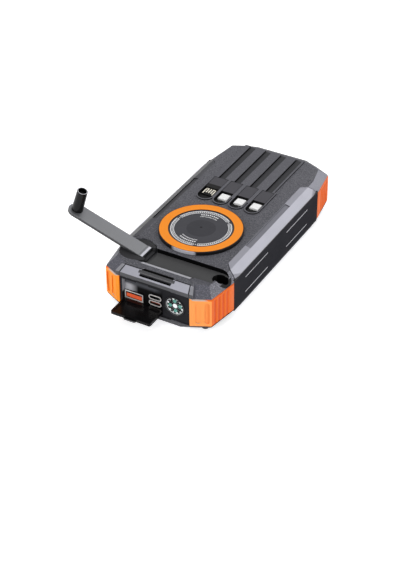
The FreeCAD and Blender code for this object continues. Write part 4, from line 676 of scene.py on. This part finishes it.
# bright strip along the front of the slot: a painted highlight of its lip
slotLip = {
    "path": ((-15.4, -76.42), (20.6, -76.42)),
    "wide": (-0.6, -1.5, 0),
    "low": 33.95,
    "tall": 0.2,
}


def makeSlotLip():
    look = slotLip
    bm = bmesh.new()
    edge = bm.edges.new([bm.verts.new((x, y, look["low"])) for x, y in look["path"]])
    liftNew(bm, bmesh.ops.extrude_edge_only(bm, edges=[edge]), look["wide"])
    thicken(bm, look["tall"])
    setPiece(bm, "slotLip", "lipHighlightGrey", "housing")


makeSlotLip()

# pale inlays in the side grooves
sideInlays = {
    "outside": 42.38, "inside": 42.15, "middle": 16.6, "apart": 11.6,
    "near": 13.4, "far": 44.8, "tall": 0.85, "edge": 0.08,
}


def makeSideInlays():
    look = sideInlays
    bm = bmesh.new()
    for side in (-1, 1):
        xs = sorted((side * look["outside"], side * look["inside"]))
        for up in (-0.5, 0.5):
            z = look["middle"] + up * look["apart"]
            for end in (-1, 1):
                ys = sorted((end * look["near"], end * look["far"]))
                low, high = (xs[0], ys[0], z - look["tall"] / 2), (xs[1], ys[1], z + look["tall"] / 2)
                softBlock(bm, low, high, look["edge"])
    setPiece(bm, "sideInlays", "inlayAndHighlightGrey", "housing")


makeSideInlays()

# compass card that floats close under the glass
compassCard = {
    "middle": (14.9, -87.7, 17.4),
    "radius": 6.1,
    "thick": 0.3,
    "rim": (5.75, 6.1),
    "markThick": 0.05,
    "dotRing": 5.1,
    "dots": 12,
    "dotSizes": (0.5 * 0.9, 0.5 * 1.3),      # by turns
    "hub": 1.6,
    "hubUp": 0.02,
    "petals": 4,
    "petalRing": 3.5,
    "petalSize": 1.25,
    "petalTurn": 0.1,                        # radians
    "petalDown": 0.01,
    "petalThick": 0.04,
}


def makeCompassCard():
    look = compassCard
    toFace = facingFront(look["middle"])
    bm = bmesh.new()
    disc(bm, 0, 0, -look["thick"], look["radius"], 48)
    thicken(bm, look["thick"])
    setPiece(bm, "compassCard", "dialDark", "housing", toFace)
    bm = bmesh.new()
    arcBand(bm, *look["rim"], 0, 2 * math.pi)
    for i in range(look["dots"]):
        a = 2 * math.pi * (i + 0.5) / look["dots"]
        disc(bm, look["dotRing"] * math.cos(a), look["dotRing"] * math.sin(a), 0, look["dotSizes"][i % 2], 16)
    disc(bm, 0, 0, look["hubUp"], look["hub"], 32)
    thicken(bm, look["markThick"])
    setPiece(bm, "compassMarks", "printWhite", "housing", toFace)
    bm = bmesh.new()
    for i in range(look["petals"]):
        a = 2 * math.pi * i / look["petals"] + look["petalTurn"]
        petal = disc(bm, look["petalRing"], 0, -look["petalDown"], look["petalSize"], 20)
        bmesh.ops.rotate(bm, verts=petal, cent=(0, 0, 0), matrix=Matrix.Rotation(a, 3, "Z"))
    thicken(bm, look["petalThick"])
    setPiece(bm, "compassPetals", "petalGreen", "housing", toFace)


makeCompassCard()

# bright flanges round the sockets' mouths
socketRims = {
    "face": -86.0,
    "proud": 0.12,
    "wide": 0.75,
    "over": 0.25,                             # beyond the socket's shell
    "large": ((-16.9, 12.6), 13.1, 5.6),      # middle, width, height
    "small": (((-1.1, 16.7), 8.94, 3.26), ((-1.1, 12.2), 8.94, 3.26)),
}


def makeSocketRims():
    look = socketRims
    grow = 2 * look["over"]
    (x, z), wide, tall = look["large"]
    shapes = [("usbARim", x, z, wide + grow, tall + grow, False)]
    for i, ((x, z), wide, tall) in enumerate(look["small"]):
        shapes.append(("usbCRim" + str(i + 1), x, z, wide + grow, tall + grow, True))
    for name, x, z, wide, tall, oval in shapes:
        bm = bmesh.new()
        if oval:
            verts = bmesh.ops.create_circle(bm, cap_ends=True, segments=32, radius=tall / 2)["verts"]
            for side in (-1, 1):
                half = [v for v in verts if v.co.x * side > 1e-6]
                bmesh.ops.translate(bm, verts=half, vec=(side * (wide - tall) / 2, 0, 0))
        else:
            verts = bmesh.ops.create_grid(bm, x_segments=1, y_segments=1, size=0.5)["verts"]
            bmesh.ops.scale(bm, verts=verts, vec=(wide, tall, 1))
        middle = list(bm.faces)
        bmesh.ops.inset_region(
            bm, faces=middle, thickness=look["wide"], use_boundary=True, use_even_offset=True)
        bmesh.ops.delete(bm, geom=middle, context="FACES_ONLY")
        thicken(bm, look["proud"])
        setPiece(bm, name, "rimSteel", "housing", facingFront((x, look["face"], z)))


makeSocketRims()

# thick tongue that fills the lower part of the wide socket
wideTongue = {"low": (-22.9, -85.5, 10.3), "high": (-10.9, -73.5, 13.3), "edge": 0.2}


def makeWideTongue():
    bm = bmesh.new()
    softBlock(bm, wideTongue["low"], wideTongue["high"], wideTongue["edge"])
    piece = setPiece(bm, "wideTongue", "tongueOrange", "housing")
    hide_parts("usb_a_tongue")


makeWideTongue()

# clear pane a hair off the solar cells
solarPane = {"half": (28.85, 72.65), "low": 0.02, "high": 0.5, "edge": 0.1}


def makeSolarPane():
    look = solarPane
    x, y = look["half"]
    bm = bmesh.new()
    softBlock(bm, (-x, -y, look["low"]), (x, y, look["high"]), look["edge"])
    piece = setPiece(bm, "solarPane", "clearGlass", "housing")
    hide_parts("solar_glass")


makeSolarPane()

# black strips along the joints between rails and side panels: the dark joint, drawn wider as painted shade
railJointShade = {"outer": 42.54, "inner": 41.6, "half": 60.0, "heights": (28.8, 5.2), "tall": 0.7, "edge": 0.03}


def makeRailJointShade():
    look = railJointShade
    bm = bmesh.new()
    for side in (-1, 1):
        xs = sorted((side * look["inner"], side * look["outer"]))
        for z in look["heights"]:
            low, high = z - look["tall"] / 2, z + look["tall"] / 2
            softBlock(bm, (xs[0], -look["half"], low), (xs[1], look["half"], high), look["edge"])
    setPiece(bm, "railJointShade", "deepBlack", "housing")


makeRailJointShade()

# bright strip over the arm's knuckle
armAt = {"axis": (-20.1, -65.1, 32.5), "rise": 17.5}   # pin, and degrees above level
hingeCap = {"along": (-1.0, 0.5), "wide": 11.5, "low": 1.02, "high": 1.28, "edge": 0.1}


def makeHingeCap():
    look = hingeCap
    x, y, z = armAt["axis"]
    start, end = look["along"]
    half = look["wide"] / 2
    bm = bmesh.new()
    softBlock(bm, (x + start, y - half, z + look["low"]), (x + end, y + half, z + look["high"]), look["edge"])
    setPiece(bm, "hingeCap", "silverPaint", "arm", tilted(**armAt))


makeHingeCap()

# comb of contacts on the first plug
plugContacts = {
    "x": -18.8, "pitch": 1.75, "wide": 0.85, "rear": 20.6, "fronts": (14.0, 15.6, 15.6, 15.6, 14.0),
    "bridge": 0.9, "bridgeWide": 1.9, "low": 33.5, "high": 33.74, "edge": 0.04,
}


def makePlugContacts():
    look = plugContacts
    low, high, rear, half = look["low"], look["high"], look["rear"], look["wide"] / 2
    bm = bmesh.new()
    for i, front in enumerate(look["fronts"]):
        x = look["x"] + (i - 2) * look["pitch"]
        softBlock(bm, (x - half, front, low), (x + half, rear, high), look["edge"])
    reach = 2 * look["pitch"] + half
    for side in (-1, 1):
        xs = sorted((look["x"] + side * reach, look["x"] + side * (reach - look["bridgeWide"])))
        softBlock(bm, (xs[0], rear - look["bridge"], low), (xs[1], rear, high), look["edge"])
    setPiece(bm, "plugContacts", "creamContact", "housing")


makePlugContacts()

# dark joints round the upper strips of the front trims
trimJoints = {
    "front": (-89.0, 31.0), "slope": 31.0, "deep": 5.85, "wide": 0.4, "inner": 12.4, "outer": 23.8,
    "lean": 13.4, "lap": 0.1, "sunk": 0.2, "proud": 0.06,
}


def makeTrimJoints():
    look = trimJoints
    half, near, far = look["wide"] / 2, look["deep"], look["deep"] + look["wide"]
    bm = bmesh.new()
    for side in (-1, 1):
        xs = sorted((side * look["inner"], side * look["outer"]))
        block(bm, (xs[0], near, -look["sunk"]), (xs[1], far, look["proud"]))
        line = block(bm, (-half, -look["lap"], -look["sunk"]), (half, far, look["proud"]))
        lean = Matrix.Rotation(math.radians(side * look["lean"]), 3, "Z")
        bmesh.ops.rotate(bm, verts=line, cent=(0, near, 0), matrix=lean)
        bmesh.ops.translate(bm, verts=line, vec=(side * look["outer"], 0, 0))
    place = Matrix.Translation((0, *look["front"])) @ Matrix.Rotation(math.radians(look["slope"]), 4, "X")
    setPiece(bm, "trimJoints", "deepBlack", "housing", place)


makeTrimJoints()

# thin silver sill in front of the strap's pocket
strapSill = {
    "half": 11.4, "front": (-88.95, 31.0), "deep": 1.15, "low": -0.1, "high": 0.15, "slope": 31.3, "edge": 0.06,
}


def makeStrapSill():
    look = strapSill
    bm = bmesh.new()
    softBlock(bm, (-look["half"], 0, look["low"]), (look["half"], look["deep"], look["high"]), look["edge"])
    place = Matrix.Translation((0, *look["front"])) @ Matrix.Rotation(math.radians(look["slope"]), 4, "X")
    setPiece(bm, "strapSill", "trimSilver", "housing", place)


makeStrapSill()

# pale flat ring on the knob's end: a painted highlight of its rim
knobRimHighlight = {"reach": 54.4, "low": 17.4, "tall": 0.34, "inner": 2.92, "outer": 3.26, "steps": 48}


def makeKnobRimHighlight():
    look = knobRimHighlight
    x, y, z = armAt["axis"]
    bm = bmesh.new()
    arcBand(bm, look["inner"], look["outer"], 0, 2 * math.pi, look["steps"])
    thicken(bm, look["tall"])
    bmesh.ops.translate(bm, verts=bm.verts, vec=(x - look["reach"], y, z + look["low"]))
    setPiece(bm, "knobRimHighlight", "inlayAndHighlightGrey", "knob", tilted(**armAt))


makeKnobRimHighlight()
print("own pieces made")
